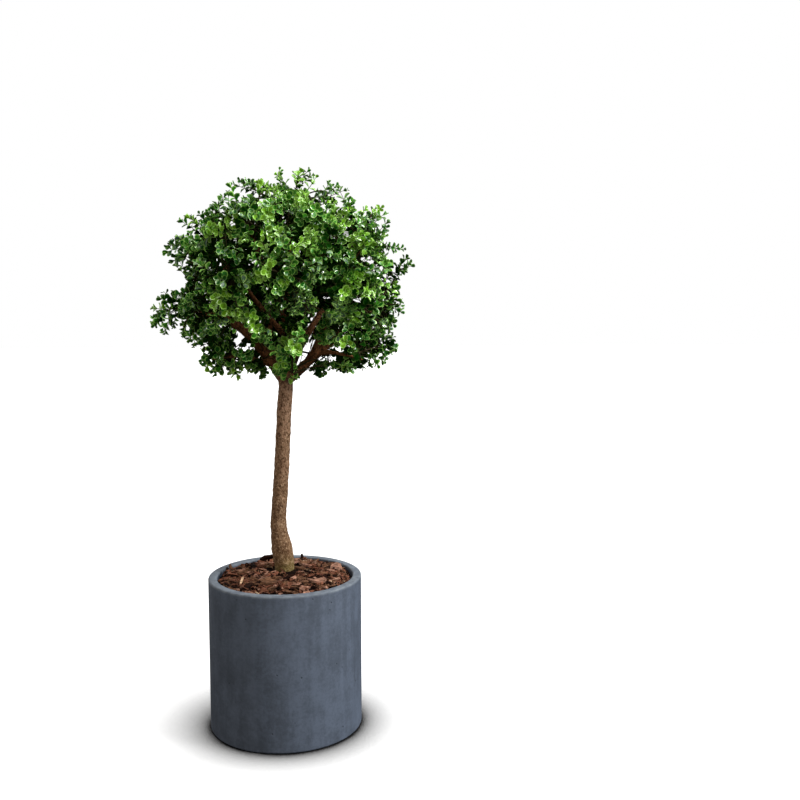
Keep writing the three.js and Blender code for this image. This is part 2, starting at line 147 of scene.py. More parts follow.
# Tufts of each green, placed as the front view sees them: x and z in metres
# Fresh tufts gather where the head catches most light: their green is partly painted light
FRESH_TUFTS = (
    (-0.140, 1.105), (-0.105, 1.090), (-0.095, 1.075), (-0.030, 1.135), (-0.015, 1.080), (-0.030, 1.200),
    (0.005, 1.220), (0.030, 1.230), (0.075, 1.225), (0.040, 1.170), (0.125, 1.145), (0.200, 1.160),
    (0.140, 1.120), (0.045, 1.095), (0.050, 1.075), (0.170, 1.070), (-0.155, 1.020), (-0.130, 0.945),
    (-0.120, 0.915), (-0.080, 0.910), (-0.040, 1.020), (0.140, 0.980), (0.180, 0.980), (0.230, 0.985),
    (0.015, 0.860), (0.075, 0.880), (-0.095, 0.795),
)
GREY_TUFTS = ((0.050, 1.010), (0.035, 0.945), (0.120, 0.925), (0.095, 0.885), (0.215, 0.895))
# Deep and darkest tufts sit where the head lies most in shade: their darker greens are partly painted shade
DEEP_TUFTS = (
    (-0.200, 1.035), (-0.155, 1.045), (-0.180, 1.000), (-0.220, 0.915), (-0.180, 0.895), (0.185, 1.040),
    (0.115, 1.085), (0.020, 1.120), (0.225, 0.860), (0.105, 0.830), (-0.075, 0.835), (-0.115, 0.875),
)
DARKEST_TUFTS = (
    (0.190, 0.930), (0.215, 0.915), (0.160, 0.870), (0.175, 0.850), (0.175, 0.830), (-0.060, 1.120),
    (-0.120, 1.030),
)
TUFT_RADIUS = 0.026
# Dark pockets: where the outer leaves part and the shaded ones behind them show, as the front view sees it
HOLLOWS = (
    (-0.070, 1.120), (-0.050, 1.115), (-0.005, 1.130), (0.020, 1.120), (0.150, 1.105), (0.110, 1.085),
    (-0.120, 1.085), (-0.055, 1.090), (-0.200, 1.040), (-0.150, 1.045), (-0.130, 1.035), (-0.115, 1.020),
    (-0.070, 1.020), (-0.015, 1.015), (0.035, 1.000), (0.105, 0.990), (0.170, 1.045), (0.190, 1.040),
    (-0.180, 1.000), (-0.110, 0.990), (-0.055, 0.980), (0.010, 0.960), (0.085, 0.965), (0.165, 0.955),
    (-0.105, 0.945), (-0.105, 0.910), (-0.170, 0.915), (-0.035, 0.905), (0.085, 0.930), (0.190, 0.930),
    (0.210, 0.910), (0.225, 0.925), (0.165, 0.860), (0.175, 0.840),
)
HOLLOW_RADIUS = 0.0115
SHADE_ROUND_HOLLOW = 0.010
# The share of the head's reach that stays leafy behind a pocket
HOLLOW_DEPTH = 0.70
# Where the head's edge begins, as the front view sees it, and the share of its sprays that are deep green
DEEP_EDGE = {"from": 0.84, "share": 0.45}
# Tufts that stand out in front of the fork and boughs: middle, radius, leafy twigs and green
MARKED_TUFTS = (
    ((0.014, -0.088, 0.873), 0.036, 9, "fresh"),
    ((0.012, -0.080, 0.868), 0.040, 17, "middle"),
    ((0.041, -0.070, 0.866), 0.014, 6, "middle"),
    ((0.000, -0.060, 0.850), 0.014, 5, "deep"),
    ((-0.014, -0.050, 0.812), 0.017, 9, "middle"),
    ((0.010, -0.045, 0.803), 0.015, 8, "middle"),
    ((0.018, -0.040, 0.789), 0.013, 7, "fresh"),
    ((-0.045, -0.030, 0.797), 0.012, 3, "deep"),
    ((-0.064, -0.040, 0.813), 0.010, 3, "middle"),
    ((-0.124, -0.110, 0.864), 0.026, 8, "middle"),
    ((0.086, -0.080, 0.872), 0.016, 6, "middle"),
    ((-0.022, -0.060, 0.836), 0.010, 3, "deep"),
    ((-0.034, -0.130, 0.938), 0.030, 9, "middle"),
    ((-0.084, -0.125, 0.912), 0.017, 5, "fresh"),
    ((0.112, -0.125, 0.922), 0.022, 8, "grey"),
    ((0.136, -0.125, 0.912), 0.016, 5, "grey"),
    ((0.040, -0.130, 0.944), 0.015, 4, "grey"),
    ((0.090, -0.110, 0.905), 0.020, 5, "middle"),
    ((0.132, -0.165, 0.974), 0.026, 8, "fresh"),
    ((-0.044, -0.080, 0.862), 0.018, 7, "middle"),
    ((0.078, -0.030, 0.804), 0.015, 7, "middle"),
    ((0.104, -0.020, 0.811), 0.013, 4, "deep"),
    ((0.125, -0.020, 0.810), 0.013, 4, "shade"),
    ((0.148, -0.030, 0.806), 0.015, 5, "middle"),
    ((0.068, 0.004, 0.876), 0.010, 5, "shade"),
    ((0.094, -0.006, 0.842), 0.009, 3, "shade"),
    ((-0.083, -0.020, 0.866), 0.004, 2, "shade"),
    ((-0.090, -0.020, 0.857), 0.003, 1, "deep"),
    ((-0.106, -0.020, 0.877), 0.004, 2, "shade"),
    ((-0.060, -0.030, 0.840), 0.008, 4, "shade"),
    ((-0.053, -0.030, 0.826), 0.008, 4, "shade"),
    ((-0.072, -0.030, 0.827), 0.009, 4, "shade"),
    ((-0.080, -0.020, 0.829), 0.010, 5, "shade"),
    ((-0.063, -0.020, 0.816), 0.010, 6, "shade"),
    ((-0.040, -0.020, 0.813), 0.009, 5, "shade"),
    ((0.076, -0.020, 0.818), 0.010, 6, "shade"),
    ((0.020, -0.100, 0.906), 0.018, 7, "middle"),
    ((0.056, -0.205, 1.070), 0.022, 8, "fresh"),
    ((0.158, -0.150, 1.073), 0.024, 8, "fresh"),
    ((0.135, -0.185, 0.991), 0.024, 7, "fresh"),
    ((-0.064, -0.200, 0.990), 0.020, 5, "middle"),
    ((0.056, -0.200, 0.990), 0.018, 5, "middle"),
    ((0.140, -0.150, 0.911), 0.020, 7, "middle"),
    ((-0.145, -0.160, 0.992), 0.020, 6, "middle"),
    ((0.053, -0.170, 0.941), 0.020, 7, "grey"),
    ((-0.072, -0.040, 0.824), 0.010, 6, "deep"),
    ((-0.052, -0.040, 0.821), 0.009, 5, "shade"),
    ((-0.001, -0.112, 0.882), 0.012, 3, "fresh"),
    ((0.013, -0.114, 0.871), 0.014, 4, "fresh"),
    ((0.030, -0.110, 0.876), 0.012, 3, "fresh"),
    ((0.196, 0.030, 0.912), 0.026, 9, "shade"),
    ((0.186, 0.020, 0.888), 0.022, 8, "shade"),
    ((0.222, 0.020, 0.905), 0.020, 7, "shade"),
    ((0.205, 0.020, 0.880), 0.018, 6, "deep"),
)

# Gaps that show the sky, as the front view sees them: x, z, half width and half height in metres
SKY_GAPS = (
    (-0.089, 0.876, 0.009, 0.012),
    (-0.098, 0.858, 0.007, 0.010),
    (-0.076, 0.853, 0.006, 0.009),
    (-0.103, 0.890, 0.006, 0.004),
    (0.049, 0.846, 0.009, 0.017),
    (0.034, 0.824, 0.012, 0.010),
    (0.100, 0.959, 0.008, 0.007),
    (0.159, 0.949, 0.006, 0.004),
    (0.069, 0.853, 0.005, 0.005),
    (0.106, 0.823, 0.014, 0.007),
    (0.124, 0.845, 0.007, 0.007),
    (0.146, 0.851, 0.007, 0.004),
    (-0.061, 0.830, 0.003, 0.005),
    (-0.085, 0.845, 0.004, 0.004),
    (-0.109, 0.844, 0.005, 0.003),
    (-0.108, 0.870, 0.003, 0.003),
    (-0.119, 0.823, 0.005, 0.003),
    (-0.120, 0.803, 0.003, 0.006),
    (-0.146, 0.901, 0.003, 0.003),
    (-0.134, 0.897, 0.004, 0.003),
    (-0.162, 0.857, 0.005, 0.006),
    (-0.168, 0.842, 0.006, 0.004),
    (-0.158, 0.822, 0.004, 0.003),
    (0.026, 1.194, 0.008, 0.008),
    (0.048, 1.200, 0.006, 0.012),
    (0.066, 1.181, 0.008, 0.007),
    (0.090, 1.155, 0.006, 0.011),
    (-0.041, 1.168, 0.006, 0.007),
    (-0.052, 1.179, 0.004, 0.007),
    (-0.026, 1.150, 0.004, 0.004),
    (-0.102, 1.133, 0.003, 0.006),
    (-0.096, 1.118, 0.004, 0.004),
    (-0.061, 1.100, 0.003, 0.006),
    (0.113, 1.192, 0.005, 0.004),
    (-0.118, 0.829, 0.006, 0.007),
    (-0.099, 1.079, 0.003, 0.010),
    (-0.028, 1.097, 0.004, 0.004),
    (0.130, 1.180, 0.007, 0.006),
)
# A lesser bough inside the head that shows in a gap: its start, bend and end, and its radii
INNER_BOUGH = ((0.013, 0.002, 0.868), (-0.022, -0.016, 0.905), (-0.076, -0.040, 0.978), (0.0075, 0.0045))
# A thin one that rises beside the right bough
THIN_BOUGH = ((0.040, -0.004, 0.809), (0.068, -0.010, 0.846), (0.068, -0.004, 0.888), (0.0022, 0.0016))
# Stretches of bough that show between the leaves: which bough, and from what share of it to what share
BARE_STRETCHES = (
    ("left", 0.26, 0.43),
    ("left", 0.60, 0.72),
    ("right", 0.27, 0.50),
    ("back_right", 0.66, 0.94),
    ("inner", 0.12, 0.36),
    ("inner", 0.62, 0.80),
)
BARE_MARGIN = 0.004

# The tips and notches of the head's outline as the front view sees them, from low on the right round over
# the top to low on the left: x and z in metres
FRONT_OUTLINE = (
    (0.090, 0.785), (0.095, 0.810), (0.120, 0.795), (0.180, 0.800), (0.235, 0.805), (0.255, 0.850),
    (0.240, 0.885), (0.265, 0.915), (0.270, 0.950), (0.250, 1.000), (0.285, 1.015), (0.295, 1.040),
    (0.260, 1.075), (0.210, 1.080), (0.250, 1.105), (0.235, 1.140), (0.215, 1.165), (0.185, 1.160),
    (0.160, 1.145), (0.155, 1.185), (0.140, 1.200), (0.100, 1.210), (0.080, 1.195), (0.080, 1.230),
    (0.025, 1.240), (-0.010, 1.235), (-0.015, 1.195), (-0.030, 1.210), (-0.065, 1.220), (-0.120, 1.195),
    (-0.140, 1.165), (-0.175, 1.140), (-0.195, 1.140), (-0.220, 1.120), (-0.200, 1.090), (-0.230, 1.090),
    (-0.260, 1.045), (-0.225, 1.020), (-0.195, 0.990), (-0.210, 0.975), (-0.260, 0.970), (-0.280, 0.940),
    (-0.280, 0.890), (-0.215, 0.870), (-0.185, 0.835), (-0.165, 0.795), (-0.150, 0.785), (-0.130, 0.795),
    (-0.120, 0.780), (-0.090, 0.780), (-0.055, 0.800), (-0.050, 0.780),
)
OUTLINE_FROM = 0.72
# How far inside that outline twigs end, and how far past it a leaf may reach
TWIG_INSIDE = 0.003
LEAF_PAST = 0.008
# Loose twigs all along the outline, and the share of the sprays behind them that is left out there
EDGE_SPRIGS = 120
EDGE_OPEN = {"from": 0.76, "to": 0.90, "share": 0.93}

# A pair of leaves down a twig: the gap to the pair before it, the leaf's size and how far it spreads
LEAF_PAIRS = (
    (0.0015, 0.50, 20),
    (0.0045, 0.78, 38),
    (0.0065, 0.98, 52),
    (0.0085, 1.00, 62),
    (0.0095, 0.96, 68),
    (0.0105, 0.90, 72),
    (0.0115, 0.84, 74),
)
SPRIG_PAIRS = (
    (0.0015, 0.58, 24),
    (0.0065, 0.84, 42),
    (0.0100, 0.98, 50),
    (0.0110, 1.02, 54),
    (0.0115, 1.02, 58),
    (0.0115, 1.00, 60),
)
# The share of a twig that carries leaves, and how uneven sprays and leaves are
LEAFY_SHARE = 0.92
SPRAY_SIZES = (0.85, 1.1)
LEAF_SIZES = (0.86, 1.12)
LEAF_UNEVEN = {"around": 0.16, "lean": 9, "facing": 0.17}
# How far the leaves of the outline's sprigs turn to the front: the usual amount, and how much it varies
EDGE_TO_FRONT = (0.12, 0.35)
# Twigs in the head's depth carry fewer pairs
LAYER_PAIRS = {
    "outer": LEAF_PAIRS,
    "inner": LEAF_PAIRS[:5],
    "sprig": SPRIG_PAIRS,
    "edge": SPRIG_PAIRS,
}
# Leaves nearest the tip keep their spray's green; those further down take a darker one, as painted shade
TIP_LEAVES = 8
SHADED_GREEN = {"fresh": "middle", "middle": "deep", "grey": "deep", "deep": "shade", "shade": "shade"}

# Half of a leaf's outline from root to tip: share of the half width, share of the length
LEAF_OUTLINE = ((0.34, 0.20), (0.80, 0.45), (1.00, 0.70), (0.66, 0.94))
LEAF_TIP = 0.985
LEAF_HEART = {"narrow": 0.72, "root": 0.10, "tip": 0.88}
LEAF_RIBS = (0.42, 0.70)
LEAF_CUP = {"depth": 0.17, "power": 1.6}
LEAF_RIM_LIFT = 0.035
LEAF_DROOP = 0.20
# How sharply the floor darkens where something stands close to it: a painted contact shadow in its colour and
# glow
CONTACT_GAIN = 2.92
CONTACT_START = 1.626

CAMERA = {"place": (0.0, -2.125, 0.939), "down": 5.58, "right": 6.96, "lens": 43.245, "sensor": 36.0}


def size_setting(name, description, default):
    return bpy.props.FloatProperty(name=name, description=description, default=default, unit="LENGTH")


def angle_setting(name, description, degrees):
    default = math.radians(degrees)
    return bpy.props.FloatProperty(name=name, description=description, default=default, subtype="ANGLE")


def strength_setting(name, description, default):
    return bpy.props.FloatProperty(name=name, description=description, default=default)


def count_setting(name, description, default, least=0):
    return bpy.props.IntProperty(name=name, description=description, default=default, min=least)


def colour_setting(name, description, *default):
    return bpy.props.FloatVectorProperty(name=name, description=description, default=default, subtype="COLOR")


class PlanterSettings(bpy.types.PropertyGroup):
    """Sizes and colours of the planter"""

    radius: size_setting("Radius", "Outside radius of the planter", (planter_high.x - planter_low.x) / 2)
    height: size_setting("Height", "Height of the planter", planter_high.z - planter_low.z)
    wall: size_setting("Wall", "How thick the wall is", 0.019)
    floor: size_setting("Floor", "How thick the floor is", 0.026)
    rim_round: size_setting("Rim round", "Radius of the rounded rim", 0.0035)
    foot_round: size_setting("Foot round", "Radius of the rounded foot", 0.005)
    sides: count_setting("Sides", "Faces round the planter", 160, 24)
    dark: colour_setting("Dark clay", "The darker patches of the clay", 0.041, 0.052, 0.071)
    # The pale clay is both the colour of worn nicks and a painted highlight along the rim
    worn_and_sheen: colour_setting("Worn clay", "The rim where it has worn pale", 0.150, 0.172, 0.192)
    light: colour_setting("Light clay", "The lighter patches of the clay", 0.069, 0.087, 0.120)


class BarkSettings(bpy.types.PropertyGroup):
    """Sizes and colours of the layer of bark chips"""

    wall_level: size_setting("Level at the wall", "Height of the layer at the planter's wall", 0.327)
    middle_level: size_setting("Level at the stem", "Height of the layer round the stem", 0.352)
    chips: count_setting("Chips", "How many chips lie on the layer", 1700)
    shortest: size_setting("Shortest", "Length of the shortest chip", 0.006)
    longest: size_setting("Longest", "Length of the longest chip", 0.036)
    red: colour_setting("Red bark", "Reddish chips", 0.132, 0.051, 0.029)
    brown: colour_setting("Brown bark", "Brown chips", 0.112, 0.054, 0.029)
    # Near black: besides the darkest chips, this is painted shade in the gaps, on the layer under the chips
    dark: colour_setting("Dark bark", "The darkest chips and the layer under them", 0.013, 0.004, 0.002)
    tan: colour_setting("Tan bark", "The lighter chips", 0.260, 0.136, 0.092)
    pale: colour_setting("Pale wood", "The pale slivers among the chips", 0.400, 0.270, 0.170)


class StemSettings(bpy.types.PropertyGroup):
    """Sizes and colours of the stem and boughs"""

    grain: size_setting("Grain", "Size of the small faces that the wood is made of", 0.0019)
    relief: size_setting("Relief", "How far the bark's lumps stand out", 0.0022)
    bark: colour_setting("Stem bark", "Colour of the stem's bark near the fork", 0.270, 0.160, 0.098)
    low_bark: colour_setting("Low stem bark", "Colour of the bark lower down the stem", 0.142, 0.081, 0.042)
    pale_bark: colour_setting("Pale bark", "Colour of the small pale specks on the stem", 0.420, 0.290, 0.180)
    furrow: colour_setting("Stem furrow", "Colour of the bark's furrows", 0.070, 0.034, 0.015)
    olive: colour_setting("Olive tinge", "What the bark turns to at the stem's foot", 0.130, 0.105, 0.030)
    bough: colour_setting("Bough bark", "Colour of the boughs", 0.185, 0.078, 0.028)


class HeadSettings(bpy.types.PropertyGroup):
    """How the head is filled with twigs and leaves, and its colours"""

    seed: count_setting("Seed", "Which head the seeded rule grows", 2718)
    sprays: count_setting("Sprays", "Leafy twigs on each branchlet", 9, 1)
    sprigs: count_setting("Sprigs", "Longer loose twigs on each branchlet that stand out of the head", 2)
    inner_sprays: count_setting("Inner sprays", "Leafy twigs in the depth behind each branchlet's end", 6)
    tuft: angle_setting("Tuft", "How wide a branchlet's sprays fan out, seen from the head's middle", 12.3)
    leaf_length: size_setting("Leaf length", "Length of a full leaf", 0.0172)
    leaf_width: size_setting("Leaf width", "Width of a full leaf", 0.0125)
    deep: colour_setting("Deep green", "The darkest leaves", 0.008, 0.088, 0.004)
    middle: colour_setting("Middle green", "Most of the leaves", 0.033, 0.188, 0.006)
    fresh: colour_setting("Fresh green", "The fresh sprays", 0.140, 0.330, 0.008)
    grey: colour_setting("Greyish green", "The greyish sprays", 0.070, 0.142, 0.080)
    # The light edge is partly the leaves' own paler margin, partly a painted highlight on their cupped rims
    edge: colour_setting(
        "Leaf edge", "The leaves' light edge, which each green has a share of", 0.420, 0.740, 0.160
    )
    twig: colour_setting("Twig", "Colour of the twigs", 0.026, 0.021, 0.008)


class StageSettings(bpy.types.PropertyGroup):
    """The floor and lights"""

    floor: colour_setting("Floor", "Colour of the floor", 0.35, 0.35, 0.35)
    key: strength_setting("Key light", "Strength of the broad soft light from high on the right", 3.95)
    key_spread: angle_setting("Key spread", "How wide the key light is, which softens its shadows", 62)
    side: strength_setting("Side light", "Strength of the light from the right that glints on leaves", 3.35)
    side_spread: angle_setting("Side spread", "How wide the side light is", 17)
    fill: strength_setting("Fill light", "Strength of the soft light from the left and front", 1.55)
    fill_colour: colour_setting("Fill colour", "Colour of that light, a little warm", 1.0, 0.90, 0.80)
    back: strength_setting("Back light", "Strength of the light that keeps the back from going dark", 1.3)
    world: strength_setting("World", "Strength of the light from all round", 0.12)
    glow: strength_setting("Floor glow", "The floor's own light, which keeps its shadows pale", 0.86)
    contact: size_setting("Contact shadow", "How far the shadow round the planter's foot reaches", 0.26)


class Socket:
    """A node's output, which Python arithmetic turns into Math nodes"""

    def __init__(self, finish, output):
        self.finish = finish
        self.output = output

    def combined(self, operation, first, second):
        return self.finish.node("ShaderNodeMath", {"operation": operation}, {0: first, 1: second})

    def __add__(self, other):
        return self.combined("ADD", self, other)

    def __radd__(self, other):
        return self.combined("ADD", other, self)

    def __sub__(self, other):
        return self.combined("SUBTRACT", self, other)

    def __rsub__(self, other):
        return self.combined("SUBTRACT", other, self)

    def __mul__(self, other):
        return self.combined("MULTIPLY", self, other)

    def __rmul__(self, other):
        return self.combined("MULTIPLY", other, self)


class Finish:
    """A material, and the short calls that make its nodes"""

    def __init__(self, name):
        self.material = bpy.data.materials.new(name)
        self.material.use_nodes = True
        self.tree = self.material.node_tree
        self.tree.nodes.clear()
        self.place = self.node("ShaderNodeTexCoord", output="Object")

    def node(self, kind, settings=None, sockets=None, output=0):
        made = self.tree.nodes.new(kind)
        for name, value in (settings or {}).items():
            setattr(made, name, value)
        for name, value in (sockets or {}).items():
            if isinstance(value, Socket):
                self.tree.links.new(value.output, made.inputs[name])
            else:
                made.inputs[name].default_value = value
        return Socket(self, made.outputs[output]) if made.outputs else None

    def stretched(self, stretch):
        return self.node("ShaderNodeMapping", None, {"Vector": self.place, "Scale": stretch})

    def noise(self, scale, detail=3.0, roughness=0.55, stretch=(1, 1, 1)):
        sockets = {"Vector": self.stretched(stretch), "Scale": scale}
        sockets.update({"Detail": detail, "Roughness": roughness})
        return self.node("ShaderNodeTexNoise", None, sockets)

    def cells(self, scale, stretch=(1, 1, 1)):
        return self.node("ShaderNodeTexVoronoi", None, {"Vector": self.stretched(stretch), "Scale": scale})

    def between(self, value, low, high):
        """A smooth 0 to 1 as value goes from low to high"""
        sockets = {"Value": value, "From Min": low, "From Max": high}
        return self.node("ShaderNodeMapRange", {"interpolation_type": "SMOOTHSTEP"}, sockets)

    def height(self):
        return self.node("ShaderNodeSeparateXYZ", None, {0: self.place}, output="Z")

    def mixed(self, factor, first, second):
        """Two colours mixed, each a socket or three numbers"""
        first, second = (c if isinstance(c, Socket) else (*c, 1.0) for c in (first, second))
        return self.node("ShaderNodeMix", {"data_type": "RGBA"}, {0: factor, 6: first, 7: second}, output=2)

    def bumped(self, height, distance, strength=1.0):
        sockets = {"Height": height, "Distance": distance, "Strength": strength}
        return self.node("ShaderNodeBump", None, sockets)

    def surface(self, colour, roughness, normal=None, **constants):
        sockets = {"Base Color": colour, "Roughness": roughness}
        if normal is not None:
            sockets["Normal"] = normal
        sockets.update({name.replace("_", " "): value for name, value in constants.items()})
        shader = self.node("ShaderNodeBsdfPrincipled", None, sockets)
        self.node("ShaderNodeOutputMaterial", None, {"Surface": shader})
        return self.material


def scaled(colour, factor):
    return tuple(min(channel * factor, 1.0) for channel in colour)


def blended(first, second, share):
    return tuple(a + (b - a) * share for a, b in zip(first, second))


def clay_finish(settings):
    finish = Finish("fibre_clay")
    cloud = finish.noise(8.0, 4.0, 0.6)
    patch = finish.noise(30.0, 5.0, 0.65)
    speck = finish.noise(150.0, 3.0, 0.6)
    streak = finish.noise(55.0, 3.0, 0.5, stretch=(1, 1, 0.10))
    tone = cloud * 0.28 + patch * 0.26 + speck * 0.22 + streak * 0.24
    colour = finish.mixed(finish.between(tone, 0.38, 0.62), settings.dark, settings.light)
    # Small pits: sunk by the bump, and near black with painted shade inside them
    pit = 1.0 - finish.between(finish.cells(46.0), 0.06, 0.12)
    rare = finish.between(finish.noise(27.0, 2.0), 0.52, 0.58)
    shaded_pits = pit * rare
    colour = finish.mixed(shaded_pits * 0.75, colour, scaled(settings.dark, 0.3))
    nick = 1.0 - finish.between(finish.cells(38.0, stretch=(1, 1, 0.6)), 0.05, 0.09)
    nicks = nick * finish.between(finish.noise(21.0, 2.0), 0.54, 0.60)
    colour = finish.mixed(nicks * 0.6, colour, settings.worn_and_sheen[:])
    # The rim and the wall's top few mm turn toward the pale clay: partly wear, partly a painted highlight
    rim = finish.between(finish.height(), settings.height - 0.007, settings.height - 0.002)
    worn_and_sheen = finish.between(finish.noise(60.0, 4.0), 0.35, 0.7)
    colour = finish.mixed(rim * (worn_and_sheen * 0.45 + 0.28), colour, settings.worn_and_sheen[:])
    trowel = finish.noise(11.0, 3.0, 0.5, stretch=(0.4, 0.4, 9.0))
    relief = patch * 0.4 + trowel * 0.35 + speck * 0.2 - shaded_pits * 0.8
    normal = finish.bumped(relief, 0.0014, 0.5)
    return finish.surface(colour, patch * 0.18 + 0.62, normal, Specular_IOR_Level=0.3)


def filling_finish():
    finish = Finish("potting_filling")
    grit = finish.noise(180.0, 4.0, 0.65)
    colour = finish.mixed(grit, (0.020, 0.012, 0.008), (0.075, 0.050, 0.034))
    return finish.surface(colour, 0.95, finish.bumped(grit, 0.003))


def chip_finish(name, light, dark):
    finish = Finish(name)
    grain = finish.noise(95.0, 4.0, 0.62, stretch=(1.0, 3.2, 2.0))
    patch = finish.noise(38.0, 3.0, 0.6)
    tone = finish.between(grain * 0.55 + patch * 0.45, 0.36, 0.64)
    colour = finish.mixed(tone, dark, light)
    relief = grain * 0.7 + finish.noise(420.0, 2.0) * 0.3
    return finish.surface(colour, 0.86 - grain * 0.15, finish.bumped(relief, 0.0022), Specular_IOR_Level=0.06)


def wood_finish(settings):
    finish = Finish("stem_wood")
    height = finish.height()
    lumps = finish.cells(300.0, stretch=(1, 1, 0.7))
    fleck = finish.noise(330.0, 5.0, 0.7, stretch=(1, 1, 0.6))
    grain = finish.noise(170.0, 2.0, 0.6, stretch=(1, 1, 0.75))
    patch = finish.noise(42.0, 3.0, 0.6, stretch=(1, 1, 0.5))
    tone = finish.between(fleck * 0.35 + grain * 0.5 + lumps * 0.15, 0.39, 0.55)
    high = finish.between(height + patch * 0.5, 0.66, 1.08)
    bark = finish.mixed(high, settings.low_bark, settings.bark)
    pale = finish.between(finish.noise(250.0, 2.0, 0.6, stretch=(1, 1, 0.75)), 0.54, 0.62)
    bark = finish.mixed(pale * 0.45, bark, settings.pale_bark[:])
    stem = finish.mixed(tone, settings.furrow, bark)
    foot = 1.0 - finish.between(height + patch * 0.06, 0.375, 0.425)
    stem = finish.mixed(foot * 0.6, stem, settings.olive)
    bough = finish.mixed(tone, scaled(settings.bough, 0.35), settings.bough)
    up = finish.between(height + patch * 0.05, 0.785, 0.835)
    colour = finish.mixed(up, stem, bough)
    relief = lumps * 0.30 + fleck * 0.35 + grain * 0.35
    return finish.surface(colour, 0.82 - patch * 0.2, finish.bumped(relief, 0.0042), Specular_IOR_Level=0.12)


def twig_finish(settings):
    finish = Finish("twig")
    fleck = finish.noise(120.0, 3.0)
    colour = finish.mixed(fleck, scaled(settings.twig, 0.6), scaled(settings.twig, 1.7))
    return finish.surface(colour, 0.85, finish.bumped(fleck, 0.001), Specular_IOR_Level=0.1)


def leaf_finish(name, colour, gloss):
    """A moulded leaf's face: gloss is how much of a clear coat it has"""
    finish = Finish(name)
    patch = finish.noise(34.0, 2.0)
    vein = finish.noise(520.0, 2.0, 0.6)
    shade = finish.mixed(finish.between(patch, 0.3, 0.7), scaled(colour, 0.75), scaled(colour, 1.25))
    coat = {"Specular_IOR_Level": gloss * 0.4, "Coat_Weight": gloss, "Coat_Roughness": 0.14}
    return finish.surface(shade, patch * 0.16 + 0.28, finish.bumped(vein, 0.0006, 0.4), **coat)


def floor_finish(settings):
    finish = Finish("floor")
    around = finish.node("ShaderNodeAmbientOcclusion", None, {"Distance": settings.contact}, output="AO")
    # The floor's colour and glow darken near the planter's foot: a painted contact shadow
    clear = around * CONTACT_GAIN - CONTACT_START
    colour = finish.mixed(clear, (0, 0, 0), settings.floor[:])
    glow = finish.mixed(clear, (0, 0, 0), (1, 1, 1))
    constants = {"Specular_IOR_Level": 0.2, "Emission_Strength": settings.glow}
    return finish.surface(colour, 0.9, Emission_Color=glow, **constants)


def deselect_all():
    bpy.ops.object.select_all(action="DESELECT")


def select_only(piece):
    deselect_all()
    piece.select_set(True)
    bpy.context.view_layer.objects.active = piece


def added(name):
    """The object that an add operator has just made, named, with its place moved into its mesh"""
    piece = bpy.context.object
    piece.name = name
    piece.data.name = name
    bpy.ops.object.transform_apply(location=True, rotation=True, scale=True)
    return piece


def applied(piece, kind, **settings):
    """Adds one modifier to a piece and applies it"""
    select_only(piece)
    modifier = piece.modifiers.new(kind.lower(), kind)
    for name, value in settings.items():
        setattr(modifier, name, value)
    bpy.ops.object.modifier_apply(modifier=modifier.name)


def pick(piece, kind, test):
    """In edit mode, selects only the faces whose middle and normal, or the edges whose ends, pass a test"""
    bpy.ops.mesh.select_mode(type=kind)
    bpy.ops.mesh.select_all(action="DESELECT")
    shape = bmesh.from_edit_mesh(piece.data)
    if kind == "FACE":
        for face in shape.faces:
            face.select_set(test(face.calc_center_median(), face.normal))
    else:
        for edge in shape.edges:
            ends = [vert.co for vert in edge.verts]
            edge.select_set(all(test(end) for end in ends))
    shape.select_flush_mode()
    bmesh.update_edit_mesh(piece.data)


def dressed(piece, material, nodes):
    piece.data.materials.clear()
    piece.data.materials.append(material)
    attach(piece, "root")
    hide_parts(*nodes)
    return piece


def piece_from_arrays(name, points, triangles, smooth=True):
    """A mesh object made of an array of points and an array of triangles"""
    data = bpy.data.meshes.new(name)
    data.vertices.add(len(points))
    data.vertices.foreach_set("co", np.ascontiguousarray(points, dtype=np.float32).ravel())
    data.loops.add(triangles.size)
    data.loops.foreach_set("vertex_index", triangles.astype(np.int32).ravel())
    data.polygons.add(len(triangles))
    data.polygons.foreach_set("loop_start", np.arange(0, triangles.size, 3, dtype=np.int32))
    data.polygons.foreach_set("use_smooth", np.full(len(triangles), smooth))
    data.update(calc_edges=True)
    data.validate()
    piece = bpy.data.objects.new(name, data)
    bpy.context.collection.objects.link(piece)
    return piece


def unit(vectors):
    return vectors / np.linalg.norm(vectors, axis=-1, keepdims=True)


def direction_of(azimuth, rise):
    around, up = math.radians(azimuth), math.radians(rise)
    return np.array((math.cos(around) * math.cos(up), math.sin(around) * math.cos(up), math.sin(up)))


LOBE_DIRECTIONS = np.array([direction_of(azimuth, rise) for azimuth, rise, _, _ in LOBES])


def head_reach(directions):
    """How far the head's outline is from its middle, in each of some directions"""
    directions = np.atleast_2d(directions)
    up = directions[:, 2] > 0
    power = np.where(up, HEAD_POWER["up"], HEAD_POWER["down"])
    side = np.hypot(directions[:, 0], directions[:, 1]) / HEAD_HALF["side"]
    rise = np.abs(directions[:, 2]) / np.where(up, HEAD_HALF["up"], HEAD_HALF["down"])
    plain = (side**power + rise**power) ** (-1 / power)
    off = np.degrees(np.arccos(np.clip(directions @ LOBE_DIRECTIONS.T, -1, 1)))
    gains = np.array([lobe[2] for lobe in LOBES])
    widths = np.array([lobe[3] for lobe in LOBES])
    return plain * (1 + (gains * np.exp(-((off / widths) ** 2))).sum(axis=1))


